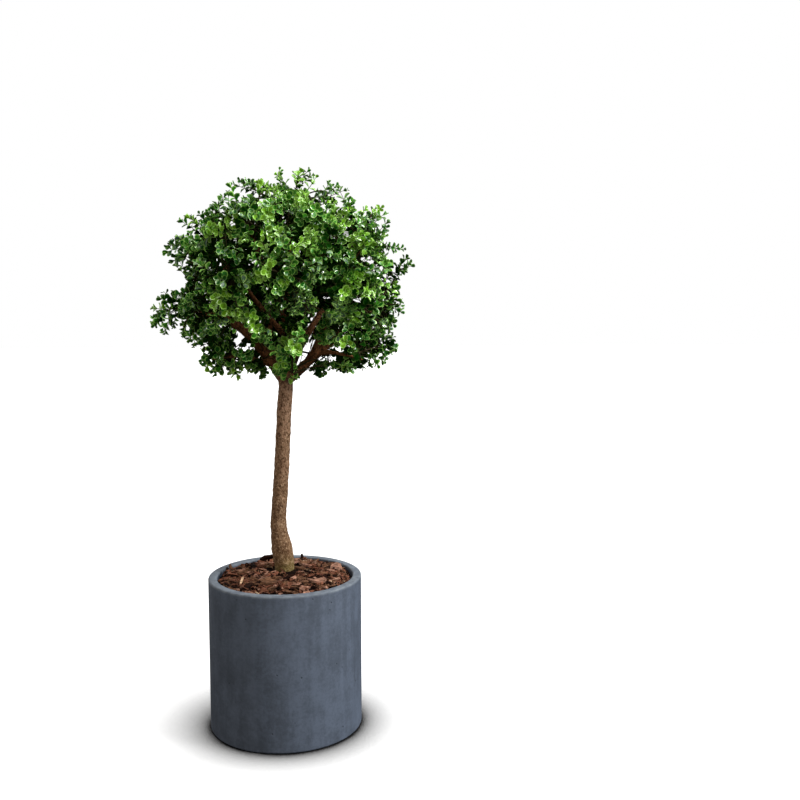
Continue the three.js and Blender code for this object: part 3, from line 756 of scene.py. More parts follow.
class Run:
    """A line through space, read by the share of its length"""

    def __init__(self, points):
        self.points = np.asarray(points)
        steps = np.linalg.norm(np.diff(self.points, axis=0), axis=1)
        self.lengths = np.concatenate(((0.0,), np.cumsum(steps)))
        self.length = self.lengths[-1]

    def point(self, share):
        at = np.clip(share, 0, 1) * self.length
        return np.array([np.interp(at, self.lengths, self.points[:, axis]) for axis in range(3)]).T

    def heading(self, share):
        ahead, behind = min(share + 0.04, 1.0), max(share - 0.04, 0.0)
        return unit(self.point(ahead) - self.point(behind))

    def nearest(self, place):
        """The share of the line's length that lies nearest to a place"""
        shares = np.linspace(0, 1, 21)
        gaps = np.linalg.norm(self.point(shares) - place, axis=1)
        return shares[gaps.argmin()]


def bent(start, bend, end, steps=16):
    share = np.linspace(0, 1, steps + 1)[:, None]
    return Run((1 - share) ** 2 * start + 2 * share * (1 - share) * bend + share**2 * end)


def lay_out_masses():
    """Each mass's middle, the run of its bough and the run of the stem that goes on inside it"""
    laid = {}
    for name, (azimuth, rise, share, carrier, leaves_at, radii) in MASSES.items():
        outward = direction_of(azimuth, rise)
        middle = HEAD_MIDDLE + outward * head_reach(outward)[0] * share
        main = carrier == "stem"
        start = FORK if main else laid[carrier]["bough"].point(leaves_at)
        tip = start + (middle - start) * (1 - TWIG_STEM / np.linalg.norm(middle - start))
        across = tip - start
        around = math.degrees(math.atan2(across[1], across[0]))
        straight = math.degrees(math.atan2(across[2], math.hypot(across[0], across[1])))
        steep = leaves_at if main else max((SIDE_BOUGH_STEEP + straight) / 2, straight)
        bend = start + direction_of(around, steep) * np.linalg.norm(across) * HIGH_BEND.get(name, BEND)
        bough = bent(start, bend, tip)
        heading = bough.heading(1.0)
        end = middle + outward * TWIG_STEM * 0.5
        knee = tip + heading * np.linalg.norm(middle - tip) * 0.5
        laid[name] = {"middle": middle, "bough": bough, "radii": radii, "stem": bent(tip, knee, end)}
    return laid


def source_numbers(seed):
    """The stream of numbers from 0 to 1 that the solids' rule draws from"""
    state = seed
    while True:
        state = (state * STREAM["factor"] + STREAM["step"]) % STREAM["size"]
        yield state / STREAM["size"]


def branchlets(masses, seed):
    """The head's branchlets, each from its mass's stem to its place just inside the outline"""
    numbers = source_numbers(seed)
    lowest = -math.cos(math.radians(OPEN_BELOW))
    middles = np.array([mass["middle"] for mass in masses.values()])
    grown = []
    for index in range(BRANCHLETS):
        z = 1 - ((index + 0.5) / BRANCHLETS) * (1 - lowest)
        flat = math.sqrt(1 - z * z)
        outward = np.array((flat * math.cos(index * GOLDEN_TURN), flat * math.sin(index * GOLDEN_TURN), z))
        reach = head_reach(outward)[0] * (1 - BRANCHLET_ROUGH * next(numbers) ** 1.5)
        tip = HEAD_MIDDLE + outward * (reach - LEAF_ROOM)
        mass = list(masses.values())[np.linalg.norm(middles - tip, axis=1).argmin()]
        share = BRANCHLET_ROOTS["from"] + BRANCHLET_ROOTS["spread"] * next(numbers)
        root = mass["stem"].point(share)
        next(numbers)
        bend = (root + tip) / 2
        bend[2] += np.linalg.norm(tip - root) * TWIG_SAG
        grown.append({"run": bent(root, bend, tip), "outward": outward, "reach": reach})
    return grown


def fan_of_tips(branchlet, count, tuft, depth, random):
    """Places for the ends of a branchlet's twigs: a domed tuft round the branchlet's own direction"""
    outward = branchlet["outward"]
    across = unit(np.cross(outward, (0.3, 0.2, 1.0)))
    over = np.cross(outward, across)
    start = random.uniform(0, 2 * math.pi)
    stands = branchlet["reach"] / head_reach(outward)[0]
    places = []
    for index in range(count):
        away = math.sqrt((index + random.uniform(0.1, 0.9)) / count)
        turn = start + index * GOLDEN_TURN + random.uniform(-0.35, 0.35)
        lean = tuft * away
        side = math.cos(turn) * across + math.sin(turn) * over
        toward = unit(outward * math.cos(lean) + side * math.sin(lean))
        share = (random.uniform(*depth) - TUFT_DOME * away**2) * stands
        places.append(HEAD_MIDDLE + toward * (head_reach(toward)[0] - TIP_ROOM) * share)
    return to_front_outline(np.array(places))


def round_the_middle(places):
    """How far from the head's middle the front view sees each place, and at what angle in degrees"""
    seen = seen_from_front(places) - HEAD_MIDDLE[[0, 2]]
    return np.hypot(seen[:, 0], seen[:, 1]), np.degrees(np.arctan2(seen[:, 1], seen[:, 0]))


def outline_round():
    """The outline's points as degrees round from the right and metres from the head's middle"""
    across, up = (np.array(FRONT_OUTLINE) - HEAD_MIDDLE[[0, 2]]).T
    return np.degrees(np.unwrap(np.arctan2(up, across))), np.hypot(across, up)


def outline_at(angles):
    return np.interp(angles, *outline_round(), period=360)


def to_front_outline(places):
    """Places near the edge, as the front view sees it, moved so that they follow the outline seen there"""
    away, angles = round_the_middle(places)
    turns = np.radians(angles)
    edge = head_reach(np.stack((np.cos(turns), np.zeros_like(turns), np.sin(turns)), axis=1))
    near = np.clip((away / edge - OUTLINE_FROM) / (1 - OUTLINE_FROM), 0, 1)
    outline = outline_at(angles)
    share = 1 + (outline / edge - 1) * near**2 * (3 - 2 * near)
    share = np.minimum(share, (outline - TWIG_INSIDE) / away)
    return HEAD_MIDDLE + (places - HEAD_MIDDLE) * share[:, None]


def twig_to(branchlet, place, random):
    """A twig that leaves its branchlet at a slant and ends at a place"""
    run = branchlet["run"]
    nearest = run.nearest(place)
    gap = np.linalg.norm(run.point(nearest) - place)
    share = max(nearest - gap * random.uniform(1.0, 1.5) / run.length, 0.05)
    root = run.point(share)
    length = np.linalg.norm(place - root)
    bend = root + run.heading(share) * length * 0.3 + (place - root) * 0.3
    bend[2] += length * random.uniform(-0.02, 0.10)
    return bent(root, bend, place, 6)


def seen_from_front(places):
    """Where the front view sees each place, as x and z in the plane through the stem"""
    eye = np.array(CAMERA["place"])
    share = -eye[1] / (places[:, 1] - eye[1])
    return (eye + (places - eye) * share[:, None])[:, (0, 2)]


def gap_to_nearest(seen, spots):
    """How far each place, as the front view sees it, is from the nearest of some spots"""
    return np.linalg.norm(seen[:, None] - np.array(spots)[None], axis=2).min(axis=1)


def far_and_reach(places):
    """How far each place is from the head's middle, and how far the head reaches that way"""
    away = places - HEAD_MIDDLE
    far = np.linalg.norm(away, axis=1)
    return far, head_reach(away / far[:, None])


def spray_kinds(tips, outer, random):
    """Which green each spray is: the placed tufts, whose fresh and dark greens partly paint light and shade,
    and a mix elsewhere
    """
    seen = seen_from_front(tips)
    front = tips[:, 1] < 0.03
    chance = random.random(len(tips))
    kinds = np.where(chance < 0.40, "deep", "middle")
    kinds[(chance > 0.86) & outer] = "fresh"
    kinds[(chance > 0.98) & outer] = "grey"
    away, angles = round_the_middle(tips)
    edge = away > outline_at(angles) * DEEP_EDGE["from"]
    kinds[edge & (random.random(len(tips)) < DEEP_EDGE["share"])] = "deep"
    for tufts, kind, share in (
        (DEEP_TUFTS, "deep", 0.9),
        (DARKEST_TUFTS, "deep", 1.0),
        (DARKEST_TUFTS, "shade", 0.45),
        (FRESH_TUFTS, "fresh", 0.85),
        (GREY_TUFTS, "grey", 0.85),
    ):
        near = gap_to_nearest(seen, tufts) < TUFT_RADIUS
        kinds[front & outer & near & (random.random(len(tips)) < share)] = kind
    kinds[~outer | (gap_to_nearest(seen, HOLLOWS) < SHADE_ROUND_HOLLOW)] = "shade"
    return kinds


def leaf_shapes(length, width):
    """One leaf's points, its heart's triangles and its rim's: x across, y up out of its face, z along"""
    left = [(-x, z) for x, z in reversed(LEAF_OUTLINE)]
    rim = np.array([(0, 0), *LEAF_OUTLINE, (0, LEAF_TIP), *left])
    heart = rim.copy()
    heart[:, 0] *= LEAF_HEART["narrow"]
    heart[:, 1] = LEAF_HEART["root"] + heart[:, 1] * (LEAF_HEART["tip"] - LEAF_HEART["root"])
    ribs = np.array([(0, share) for share in LEAF_RIBS])
    flat = np.concatenate((rim, heart, ribs))
    lift = np.abs(flat[:, 0]) ** LEAF_CUP["power"] * LEAF_CUP["depth"]
    lift[: len(rim)] += LEAF_RIM_LIFT
    lift -= LEAF_DROOP * flat[:, 1] ** 2
    points = np.stack((flat[:, 0] * width / 2, lift * length, flat[:, 1] * length), axis=1)
    count = len(rim)
    band = []
    for index in range(count):
        after = (index + 1) % count
        band += [(index, after, count + after), (index, count + after, count + index)]
    low, high = 2 * count, 2 * count + 1
    heart_ring = [count + index for index in range(count)]
    fan = []
    for index in range(count):
        first, second = heart_ring[index], heart_ring[(index + 1) % count]
        nearer = low if min(index, count - 1 - index) < 2 else high
        fan.append((first, second, nearer))
    fan += [(heart_ring[2], high, low), (heart_ring[count - 2], low, high)]
    return points, np.array(fan)[:, ::-1], np.array(band)[:, ::-1]


def tube(points, radii, sides):
    """The points and triangles of a thin closed twig along some points"""
    heading = unit(np.gradient(points, axis=0))
    helper = np.eye(3)[np.abs(heading.mean(axis=0)).argmin()]
    across = unit(np.cross(heading, helper))
    over = np.cross(heading, across)
    turns = np.linspace(0, 2 * math.pi, sides, endpoint=False)
    circle = np.cos(turns)[None, :, None] * across[:, None] + np.sin(turns)[None, :, None] * over[:, None]
    rings = points[:, None] + circle * np.asarray(radii)[:, None, None]
    triangles = []
    for ring in range(len(points) - 1):
        for side in range(sides):
            after = (side + 1) % sides
            low, high = ring * sides, (ring + 1) * sides
            triangles += [(low + side, high + after, low + after), (low + side, high + side, high + after)]
    last = (len(points) - 1) * sides
    triangles += [(0, side, side + 1) for side in range(1, sides - 1)]
    triangles += [(last, last + side + 1, last + side) for side in range(1, sides - 1)]
    return rings.reshape(-1, 3), np.array(triangles)[:, ::-1]


def joined_arrays(parts):
    """Many small lists of points and triangles as one of each"""
    points, triangles, start = [], [], 0
    for part_points, part_triangles in parts:
        points.append(part_points)
        triangles.append(part_triangles + start)
        start += len(part_points)
    return np.concatenate(points), np.concatenate(triangles)


def leaves_on(run, random, size, pairs, to_front):
    """The root, heading, facing and size of each leaf down one twig from its tip"""
    found = []
    turn = random.uniform(0, math.pi)
    back = 0.0
    for index, (gap, share, spread) in enumerate(pairs):
        back += gap * random.uniform(0.85, 1.15)
        if back > run.length * LEAFY_SHARE:
            break
        at = 1 - back / run.length
        root, heading = run.point(at), run.heading(at)
        level = unit(np.cross(heading, (0.05, 0.1, 1.0)))
        over = np.cross(heading, level)
        for half in (0, math.pi):
            around = turn + index * math.pi / 2 + half + random.normal(0, LEAF_UNEVEN["around"])
            lean = math.radians(spread + random.normal(0, LEAF_UNEVEN["lean"]))
            side = math.cos(around) * level + math.sin(around) * over
            leaf_heading = heading * math.cos(lean) + side * math.sin(lean)
            facing = heading * math.sin(lean) - side * math.cos(lean)
            facing = facing + LEAF_UNEVEN["facing"] * random.normal(0, 1, 3)
            facing = facing + to_front * np.array((0.0, -1.0, 0.3))
            found.append((root, leaf_heading, facing, share * size * random.uniform(*LEAF_SIZES)))
    return found


def placed_leaves(leaves, points):
    """A leaf's points set in place for each of many leaves, as one array per leaf"""
    roots, headings, facings, sizes = (np.array(column) for column in zip(*leaves))
    headings = unit(headings)
    across = unit(np.cross(facings, headings))
    facings = np.cross(headings, across)
    axes = np.stack((across, facings, headings), axis=1) * sizes[:, None, None]
    return np.einsum("pk,lkc->lpc", points, axes) + roots[:, None]


def lesser_bough(lines):
    start, bend, end, radii = lines
    return bent(*(np.array(place) for place in (start, bend, end))), radii


def clear_of_wood(places, masses):
    """True for each place that no bough or stem covers"""
    shares = np.linspace(0, 1, 26)
    clear = np.ones(len(places), bool)
    for mass in masses.values():
        radii = np.interp(shares, (0, 1), mass["radii"])
        for spot, radius in zip(mass["bough"].point(shares), radii):
            clear &= np.linalg.norm(places - spot, axis=1) > radius + WOOD_MARGIN
    return clear


def open_to_view(places, masses):
    """False for each place that would close a gap of sky, or hide a stretch of bough that shows"""
    seen = seen_from_front(places)
    clear = np.ones(len(places), bool)
    for x, z, half_width, half_height in SKY_GAPS:
        clear &= ((seen[:, 0] - x) / half_width) ** 2 + ((seen[:, 1] - z) / half_height) ** 2 > 1
    for name, start, end in BARE_STRETCHES:
        shares = np.linspace(start, end, 30)
        limb_run, limb_radii = lesser_bough(INNER_BOUGH)
        if name != "inner":
            limb_run, limb_radii = masses[name]["bough"], masses[name]["radii"]
        spots = limb_run.point(shares)
        radii = np.interp(shares, (0, 1), limb_radii) + BARE_MARGIN
        for spot, seen_spot, radius in zip(spots, seen_from_front(spots), radii):
            beside = np.linalg.norm(seen - seen_spot, axis=1)
            clear &= (beside > radius) | (places[:, 1] > spot[1])
    return clear


def outside_hollows(places):
    """False for each place in one of the dark pockets of the head's front"""
    far, reach = far_and_reach(places)
    deep = (far < reach * HOLLOW_DEPTH) | (places[:, 1] > 0)
    return deep | (gap_to_nearest(seen_from_front(places), HOLLOWS) > HOLLOW_RADIUS)


def marked_tufts(runs, random):
    """The twigs of the tufts that stand out, each from the nearest limb, and the green of each twig"""
    sprays, kinds = [], []
    for middle, radius, count, kind in MARKED_TUFTS:
        middle = np.array(middle)
        limb_run = min(runs, key=lambda run: np.linalg.norm(run.point(run.nearest(middle)) - middle))
        root = limb_run.point(limb_run.nearest(middle))
        facing = unit(unit(middle - root) + np.array((0.0, -0.7, 0.1)))
        for index in range(count):
            away = math.sqrt((index + random.uniform(0.2, 0.8)) / count)
            turn = index * GOLDEN_TURN + random.uniform(-0.3, 0.3)
            aside = np.array((math.cos(turn), 0.0, math.sin(turn))) * radius * away
            hang_back = radius * 0.5 * away**2 + random.uniform(-0.004, 0.004)
            tip = middle + aside + np.array((0.0, hang_back, 0.0))
            bend = tip - unit(facing + aside / radius * 0.5) * np.linalg.norm(tip - root) * 0.5
            sprays.append(bent(root, bend, tip, 6))
            kinds.append(kind if random.random() < 0.8 else SHADED_GREEN[kind])
    return sprays, kinds


def edge_sprigs(grown_branchlets, random):
    """Loose twigs that end on the outline that the front view sees, each from the nearest branchlet"""
    eye = np.array(CAMERA["place"])
    ends = np.array([branchlet["run"].point(1.0) for branchlet in grown_branchlets])
    turns = outline_round()[0]
    angles = np.linspace(turns[0], turns[-1], EDGE_SPRIGS)
    sprigs = []
    for angle in angles + random.uniform(-1.2, 1.2, EDGE_SPRIGS):
        turn = math.radians(angle)
        reach = outline_at(angle) - TWIG_INSIDE - random.uniform(0.0, 0.014)
        seen = HEAD_MIDDLE + np.array((math.cos(turn), 0.0, math.sin(turn))) * reach
        tip = eye + (seen - eye) * (1 - random.uniform(-0.055, 0.045) / eye[1])
        nearest = np.linalg.norm(ends - tip, axis=1).argmin()
        sprigs.append(twig_to(grown_branchlets[nearest], tip, random))
    return sprigs


def fanned_sprays(grown_branchlets, settings, random):
    """The twigs of every branchlet's tuft, and the layer of the head that each is in"""
    counts = {"outer": settings.sprays, "inner": settings.inner_sprays, "sprig": settings.sprigs}
    sprays, layers = [], []
    for branchlet in grown_branchlets:
        for layer, depth in LAYER_DEPTHS.items():
            for place in fan_of_tips(branchlet, counts[layer], settings.tuft, depth, random):
                sprays.append(twig_to(branchlet, place, random))
                layers.append(layer)
    return sprays, layers


def leaves_in_place(leaves, settings, masses):
    """Each green's leaves in place, without those in the wood, in a gap or pocket, or past the outline"""
    shape, fan, band = leaf_shapes(settings.leaf_length, settings.leaf_width)
    greens = {}
    for kind in leaves:
        points = placed_leaves(leaves[kind], shape)
        ends, middles = points[:, len(LEAF_OUTLINE) + 1], points.mean(axis=1)
        far, reach = far_and_reach(ends)
        seen_away, angles = round_the_middle(ends)
        kept = far < reach * LEAF_REACH["share"] + LEAF_REACH["more"]
        kept &= seen_away < outline_at(angles) + LEAF_PAST
        kept &= clear_of_wood(middles, masses) & open_to_view(middles, masses) & outside_hollows(middles)
        greens[kind] = points[kept]
    return greens, fan, band


def grow_head(settings):
    """The twigs as parts of arrays, and the leaves of each green as points of leaves in place"""
    random = np.random.default_rng(settings.seed)
    masses = lay_out_masses()
    grown_branchlets = branchlets(masses, settings.seed)
    shares = np.linspace(0, 1, 9)
    radii = np.linspace(*BRANCHLET_RADII, len(shares))
    twig_parts = [tube(branchlet["run"].point(shares), radii, 5) for branchlet in grown_branchlets]
    sprays, layers = fanned_sprays(grown_branchlets, settings, random)
    tips = np.array([twig.point(1.0) for twig in sprays])
    away, angles = round_the_middle(tips)
    edge = away / outline_at(angles)
    edge = np.clip((edge - EDGE_OPEN["from"]) / (EDGE_OPEN["to"] - EDGE_OPEN["from"]), 0, 1)
    shown = random.random(len(tips)) > edge * EDGE_OPEN["share"]
    sprigs = edge_sprigs(grown_branchlets, random)
    sprays += sprigs
    layers += ["edge"] * len(sprigs)
    shown = np.concatenate((shown, np.ones(len(sprigs), bool)))
    tips = np.concatenate((tips, [sprig.point(1.0) for sprig in sprigs]))
    kinds = list(spray_kinds(tips, np.array(layers) != "inner", random))
    for share in (0.45, 0.75, 1.0):
        shown &= open_to_view(np.array([twig.point(share) for twig in sprays]), masses)
    runs = [branchlet["run"] for branchlet in grown_branchlets]
    runs += [mass[part] for mass in masses.values() for part in ("bough", "stem")]
    marked, marked_kinds = marked_tufts(runs, random)
    sprays += marked
    kinds += marked_kinds
    layers += ["outer"] * len(marked)
    shown = np.concatenate((shown, np.ones(len(marked), bool)))
    leaves = {kind: [] for kind in SHADED_GREEN}
    shares = np.linspace(0, 1, 6)
    for index in np.flatnonzero(shown):
        twig, kind, layer = sprays[index], kinds[index], layers[index]
        twig_parts.append(tube(twig.point(shares), np.linspace(*TWIG_RADII, len(shares)), 3))
        to_front = random.normal(*EDGE_TO_FRONT) if layer == "edge" else 0.0
        grown = leaves_on(twig, random, random.uniform(*SPRAY_SIZES), LAYER_PAIRS[layer], to_front)
        leaves[kind] += grown[:TIP_LEAVES]
        leaves[SHADED_GREEN[kind]] += grown[TIP_LEAVES:]
    return twig_parts, *leaves_in_place(leaves, settings, masses)


def stem_run():
    """The stem's middle line as a smooth curve through its stations, and its radius by height"""
    heights, xs, ys, diameters = (np.array(column) for column in zip(*STEM_STATIONS))
    line = []
    for index in range(len(heights) - 1):
        before, after = max(index - 1, 0), min(index + 2, len(heights) - 1)
        p = [np.array((xs[i], ys[i], heights[i])) for i in (before, index, index + 1, after)]
        for share in np.linspace(0, 1, 8, endpoint=False):
            a = 2 * p[1] + (p[2] - p[0]) * share
            b = (2 * p[0] - 5 * p[1] + 4 * p[2] - p[3]) * share**2
            c = (3 * p[1] - p[0] - 3 * p[2] + p[3]) * share**3
            line.append((a + b + c) / 2)
    line.append(np.array((xs[-1], ys[-1], heights[-1])))
    return Run(line), lambda z: np.interp(z, heights, diameters) / 2


def limb(name, run, radii):
    """A round limb along a run: a path with a round section, made a mesh"""
    deselect_all()
    bpy.ops.curve.primitive_nurbs_path_add()
    path = bpy.context.object
    path.name = name
    shape = path.data
    shape.splines.clear()
    shape.dimensions = "3D"
    shape.bevel_depth = 1.0
    shape.bevel_resolution = 6
    shape.use_fill_caps = True
    line = shape.splines.new("POLY")
    line.points.add(len(radii) - 1)
    for share, radius, spot in zip(np.linspace(0, 1, len(radii)), radii, line.points):
        spot.co = (*run.point(share), 1.0)
        spot.radius = radius
    bpy.ops.object.convert(target="MESH")
    return bpy.context.object


class BOXBALL_OT_stage(bpy.types.Operator):
    """Make the floor, the soft lights and the camera"""

    bl_idname = "box_ball.stage"
    bl_label = "Stage"
    bl_options = {"REGISTER", "UNDO"}

    def execute(self, context):
        settings = context.scene.box_ball_stage
        deselect_all()
        bpy.ops.mesh.primitive_plane_add(size=40.0, location=(0, 0, -0.0004))
        floor = added("floor")
        floor.data.materials.append(floor_finish(settings))
        floor.visible_diffuse = False
        floor.visible_glossy = False
        self.lamp("key_light", (1.5, -0.45, 3.3), settings.key, settings.key_spread)
        self.lamp("side_light", (2.6, -1.15, 2.2), settings.side, settings.side_spread)
        fill = self.lamp("fill_light", (-2.0, -2.3, 1.5), settings.fill, math.radians(90))
        fill.visible_glossy = False
        fill.data.color = settings.fill_colour
        self.lamp("back_light", (-1.5, 2.2, 2.4), settings.back, math.radians(90))
        self.light_all_round(context, settings)
        context.scene.view_settings.view_transform = "Standard"
        bpy.ops.object.camera_add(
            location=CAMERA["place"],
            rotation=(math.radians(90 - CAMERA["down"]), 0, -math.radians(CAMERA["right"])),
        )
        camera = context.object
        camera.name = "camera"
        camera.data.lens = CAMERA["lens"]
        camera.data.sensor_width = CAMERA["sensor"]
        context.scene.camera = camera
        return {"FINISHED"}

    def lamp(self, name, place, strength, spread):
        bpy.ops.object.light_add(type="SUN", location=place)
        lamp = bpy.context.object
        lamp.name = name
        lamp.data.energy = strength
        lamp.data.angle = spread
        aim = Vector((0.0, 0.0, 0.8)) - lamp.location
        lamp.rotation_euler = aim.to_track_quat("-Z", "Y").to_euler()
        return lamp

    def light_all_round(self, context, settings):
        world = bpy.data.worlds.new("studio")
        world.use_nodes = True
        tree = world.node_tree
        background = tree.nodes["Background"]
        background.inputs["Color"].default_value = (1, 1, 1, 1)
        path = tree.nodes.new("ShaderNodeLightPath")
        strength = tree.nodes.new("ShaderNodeMapRange")
        strength.inputs["To Min"].default_value = settings.world
        strength.inputs["To Max"].default_value = 1.0
        tree.links.new(path.outputs["Is Camera Ray"], strength.inputs["Value"])
        tree.links.new(strength.outputs[0], background.inputs["Strength"])
        world.cycles_visibility.glossy = False
        context.scene.world = world


class BOXBALL_OT_planter(bpy.types.Operator):
    """Make the round planter with its rounded rim and foot"""

    bl_idname = "box_ball.planter"
    bl_label = "Planter"
    bl_options = {"REGISTER", "UNDO"}

    def execute(self, context):
        settings = context.scene.box_ball_planter
        radius, height = settings.radius, settings.height
        deselect_all()
        bpy.ops.mesh.primitive_cylinder_add(
            vertices=settings.sides, radius=radius, depth=height, location=(0, 0, height / 2)
        )
        piece = added("planter_shell")
        bpy.ops.object.mode_set(mode="EDIT")
        pick(piece, "FACE", lambda middle, normal: normal.z > 0.9)
        bpy.ops.mesh.inset(thickness=settings.wall)
        bpy.ops.mesh.extrude_region_move(TRANSFORM_OT_translate={"value": (0, 0, settings.floor - height)})
        pick(piece, "EDGE", lambda end: end.z > height - 1e-5)
        self.keep_rings_only(piece)
        bpy.ops.mesh.bevel(offset=settings.rim_round, segments=6, affect="EDGES")
        pick(piece, "EDGE", lambda end: end.z < 1e-5)
        bpy.ops.mesh.bevel(offset=settings.foot_round, segments=4, affect="EDGES")
        bpy.ops.object.mode_set(mode="OBJECT")
        bpy.ops.object.shade_smooth_by_angle(angle=math.radians(40))
        dressed(piece, clay_finish(settings), ["planter"])
        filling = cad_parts["filling"]
        filling.data.materials.clear()
        filling.data.materials.append(filling_finish())
        return {"FINISHED"}

    def keep_rings_only(self, piece):
        """Leaves only the two round edges of the rim selected, and not the edges that join them"""
        shape = bmesh.from_edit_mesh(piece.data)
        for edge in shape.edges:
            first, second = edge.verts
            level = abs(first.co.xy.length - second.co.xy.length) < 1e-4
            edge.select_set(edge.select and level)
        bmesh.update_edit_mesh(piece.data)


class BOXBALL_OT_bark(bpy.types.Operator):
    """Make the layer of bark and the chips that lie on it"""

    bl_idname = "box_ball.bark"
    bl_label = "Bark chips"
    bl_options = {"REGISTER", "UNDO"}

    rings = 16
    layer_depth = 0.012
    unevenness = 0.0025
    wall_gap = 0.0004
    chip_seed = 41
    # How far chips' middles stay from the stem's middle line, and that with a margin at the wall
    stem_room = 0.024
    least_room = 0.027
    # Chips that stand out: x, y, height over the layer, length, width, thickness, then turn, roll and
    # pitch in degrees, and the kind of bark
    marked_chips = (
        (0.068, -0.070, 0.005, 0.054, 0.027, 0.005, 8, 8, 0, "tan"),
        (0.116, 0.030, 0.006, 0.036, 0.031, 0.014, 60, 18, 0, "tan"),
        (-0.094, -0.062, 0.009, 0.036, 0.006, 0.003, 72, 20, -28, "pale"),
        (-0.036, 0.120, 0.0135, 0.048, 0.022, 0.006, 178, 66, 3, "dark"),
        (0.040, 0.128, 0.010, 0.027, 0.007, 0.004, 90, 10, 72, "dark"),
        (-0.030, -0.078, 0.004, 0.050, 0.031, 0.006, 20, 6, 4, "brown"),
        (0.024, -0.096, 0.005, 0.030, 0.011, 0.004, 160, 28, 0, "tan"),
        (0.090, 0.049, 0.005, 0.031, 0.019, 0.005, 10, 12, 0, "brown"),
        (-0.122, 0.060, 0.009, 0.036, 0.010, 0.004, 110, 30, -30, "brown"),
        (-0.130, 0.030, 0.008, 0.034, 0.008, 0.004, 95, 35, -24, "dark"),
        (0.134, 0.004, 0.007, 0.036, 0.007, 0.004, 75, 40, -14, "dark"),
        (0.041, 0.069, 0.006, 0.019, 0.006, 0.002, 20, 10, 0, "pale"),
    )
    kinds = {"red": 0.34, "brown": 0.28, "dark": 0.22, "tan": 0.12, "pale": 0.04}

    def execute(self, context):
        settings = context.scene.box_ball_bark
        planter = context.scene.box_ball_planter
        room = planter.radius - planter.wall - self.wall_gap
        self.make_layer(settings, room)
        for kind, parts in self.all_chips(settings, room).items():
            points, triangles = joined_arrays(parts)
            piece = piece_from_arrays(f"bark_chips_{kind}", points, triangles, smooth=False)
            colour = getattr(settings, kind)
            finish = chip_finish(f"{kind}_bark", scaled(colour, 1.36), scaled(colour, 0.22))
            dressed(piece, finish, ["bark_mulch"])
        return {"FINISHED"}

    def level(self, settings, x, y, room):
        """The height of the layer: heaped round the stem, lower at the wall, and uneven"""
        share = np.minimum(np.hypot(x, y) / room, 1)
        heap = settings.middle_level + (settings.wall_level - settings.middle_level) * share**1.6
        return heap + self.unevenness * np.sin(x * 93 + 1) * np.cos(y * 81 - x * 30)

    def make_layer(self, settings, room):
        deselect_all()
        bpy.ops.mesh.primitive_circle_add(
            vertices=96, radius=room, fill_type="NGON", location=(0, 0, settings.wall_level)
        )
        piece = added("bark_layer")
        bpy.ops.object.mode_set(mode="EDIT")
        for _ in range(self.rings - 1):
            bpy.ops.mesh.inset(thickness=room / self.rings)
        bpy.ops.mesh.poke()
        bpy.ops.object.mode_set(mode="OBJECT")
        for vert in piece.data.vertices:
            vert.co.z = self.level(settings, vert.co.x, vert.co.y, room)
        select_only(piece)
        bpy.ops.object.mode_set(mode="EDIT")
        bpy.ops.mesh.select_all(action="SELECT")
        bpy.ops.mesh.extrude_region_move(TRANSFORM_OT_translate={"value": (0, 0, -self.layer_depth)})
        bpy.ops.mesh.select_all(action="SELECT")
        bpy.ops.mesh.normals_make_consistent(inside=False)
        bpy.ops.object.mode_set(mode="OBJECT")
        # The layer under the chips is near black: painted shade in the gaps between them
        finish = chip_finish("bark_crumbs", scaled(settings.dark, 0.8), scaled(settings.dark, 0.2))
        dressed(piece, finish, ["bark_mulch"])

    def all_chips(self, settings, room):
        """Each kind's chips, as points and triangles in place"""
        random = np.random.default_rng(self.chip_seed)
        parts = {kind: [] for kind in self.kinds}
        for x, y, over, length, width, thick, turn, roll, pitch, kind in self.marked_chips:
            place = (x, y, self.level(settings, x, y, room) + over)
            parts[kind].append(self.chip(random, place, (length, width, thick), (turn, roll, pitch), room))
        for _ in range(settings.chips):
            length = settings.shortest + (settings.longest - settings.shortest) * random.random() ** 1.9
            kind = random.choice(list(self.kinds), p=list(self.kinds.values()))
            length *= 0.6 if kind == "pale" else 1.0
            sliver = kind == "pale" or random.random() < 0.62
            width = length * (random.uniform(0.12, 0.28) if sliver else random.uniform(0.36, 0.7))
            thick = min(random.uniform(0.0015, 0.0045), width * 0.6)
            away = self.stem_room + (room - self.least_room - width * 0.4) * math.sqrt(random.random())
            around = random.uniform(0, 360)
            x, y = away * math.cos(math.radians(around)), away * math.sin(math.radians(around))
            near_wall = away > room - length * 0.6
            turn = around + 90 + random.normal(0, 14) if near_wall else random.uniform(0, 360)
            turns = (turn, random.normal(0, 24), random.normal(0, 9 if length > 0.02 else 16))
            place = (x, y, self.level(settings, x, y, room) + random.uniform(-0.001, 0.0065))
            parts[kind].append(self.chip(random, place, (length, width, thick), turns, room))
        return parts

